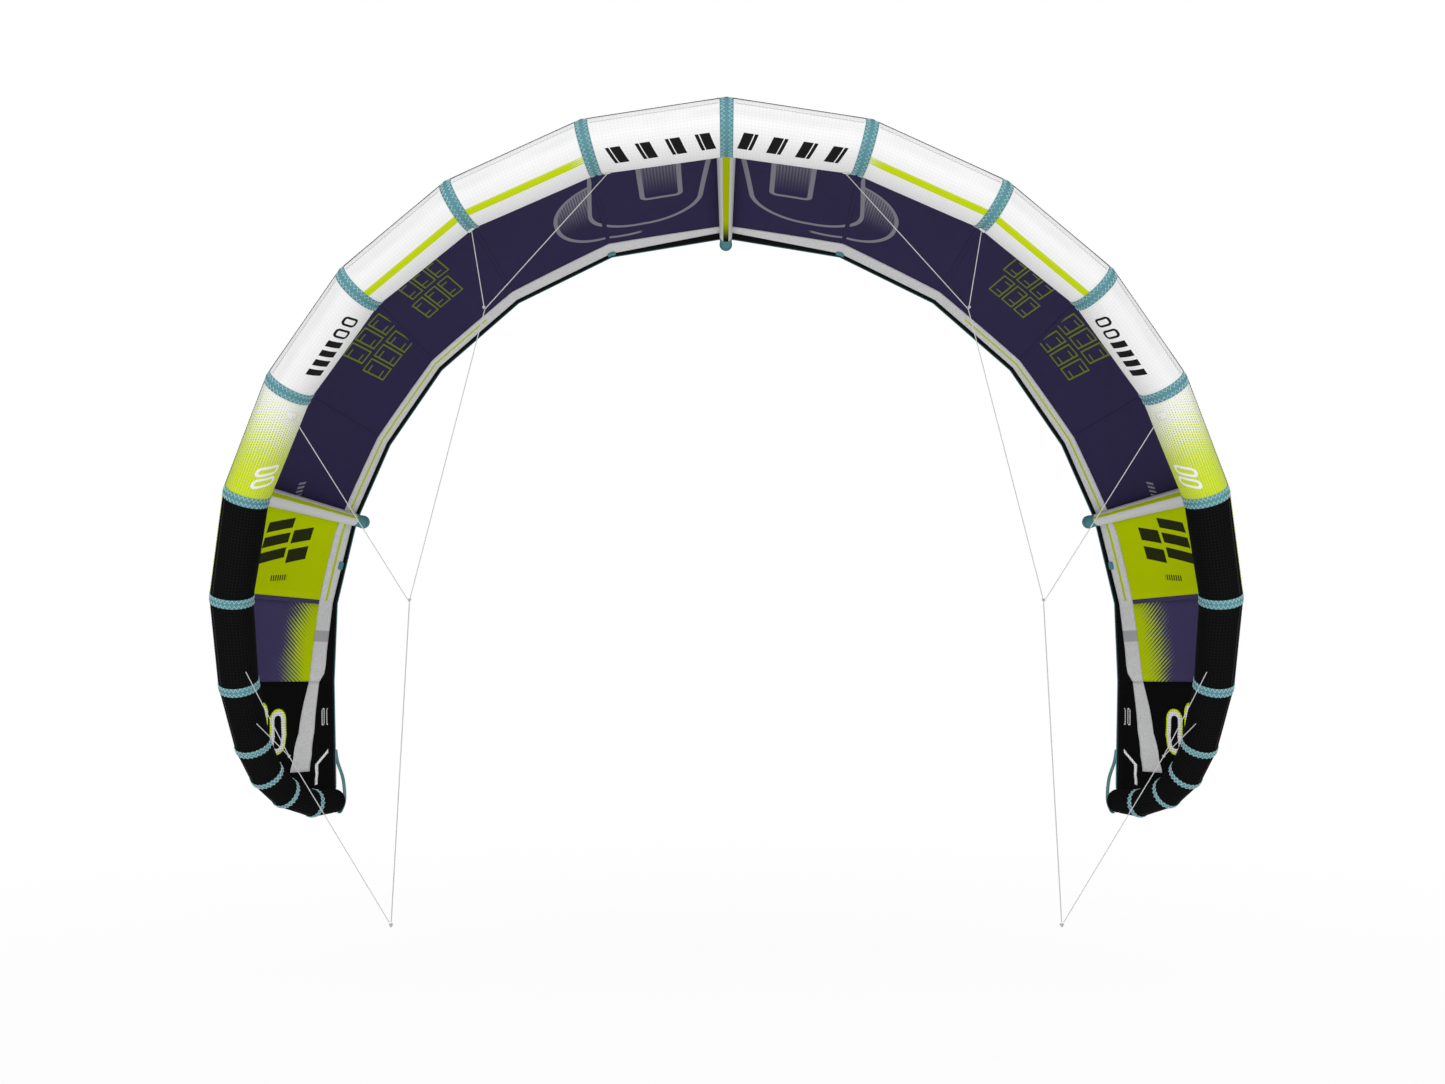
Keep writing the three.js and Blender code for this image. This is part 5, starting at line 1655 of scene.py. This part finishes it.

# %% [markdown]
# ## Soft pieces
#
# Each line is a free cord, and each canopy panel a sheet. Their lengths and the sizes that the
# panels were cut to are worked out above, but nothing here declares them.

# %% [markdown]
# ## Floor and light
#
# The kite flies over a pale floor that melts into a white surrounding. One broad sun from above
# in front and one level with the kite leave soft shading on the tube, and the inside darker.

# %% Floor
FLOOR_HEIGHT = -2.80
FLOOR_REACH = 60
floor_data = bpy.data.meshes.new("floor")
turns = np.linspace(0, 2 * np.pi, 64, endpoint=False)
corners = [(math.cos(a) * FLOOR_REACH, math.sin(a) * FLOOR_REACH, FLOOR_HEIGHT) for a in turns]
floor_data.from_pydata(corners, [], [list(range(64))])
floor = bpy.data.objects.new("floor", floor_data)
bpy.context.scene.collection.objects.link(floor)
floor_finish, p = new_finish("pale_floor")
matt = p.node("ShaderNodeBsdfDiffuse", {"Color": (0.9, 0.9, 0.9, 1)})
glow = p.node("ShaderNodeEmission", {"Color": (1, 1, 1, 1), "Strength": 1.0})
parts = p.node("ShaderNodeSeparateXYZ", {0: p.own()})
squares = [p.math("MULTIPLY", parts.outputs[k], parts.outputs[k]) for k in (0, 1)]
reach = p.math("SQRT", p.math("ADD", *squares))
far = p.ramp(reach, 1.0, 7.0)
seen = p.node("ShaderNodeLightPath").outputs["Is Camera Ray"]
shine = p.math("MULTIPLY", p.math("MULTIPLY_ADD", far, 0.06, 0.94), p.math("MULTIPLY_ADD", seen, 0.6, 0.4))
blend = p.node("ShaderNodeMixShader", {0: shine, 1: matt.outputs[0], 2: glow.outputs[0]})
below = p.node("ShaderNodeNewGeometry").outputs["Backfacing"]
open_below = p.node("ShaderNodeMixShader", {0: below, 1: blend.outputs[0]})
p.put(open_below.inputs[2], p.node("ShaderNodeBsdfTransparent").outputs[0])
p.put(p.node("ShaderNodeOutputMaterial").inputs[0], open_below.outputs[0])
floor_data.materials.append(floor_finish)

# %% Light
world = bpy.data.worlds.new("soft_white")
bpy.context.scene.world = world
world.use_nodes = True
world.node_tree.nodes.clear()
p = Painter(world.node_tree)
seen = p.node("ShaderNodeLightPath").outputs["Is Camera Ray"]
strength = p.math("MULTIPLY_ADD", seen, 0.67, 0.33)
back = p.node("ShaderNodeBackground", {"Color": (1, 1, 1, 1), "Strength": strength})
p.put(p.node("ShaderNodeOutputWorld").inputs[0], back.outputs[0])


def sun(name, toward, strength, spread):
    data = bpy.data.lights.new(name, "SUN")
    data.energy = strength
    data.angle = math.radians(spread)
    lamp = bpy.data.objects.new(name, data)
    lamp.rotation_euler = Vector(toward).to_track_quat("-Z", "Y").to_euler()
    bpy.context.scene.collection.objects.link(lamp)


sun("sun_above_front", (0.0, 0.60, -0.80), 1.36, 40)
sun("sun_level_front", (0.0, 1.0, -0.15), 0.98, 50)
bpy.context.scene.view_settings.view_transform = "Standard"
print("two soft suns")
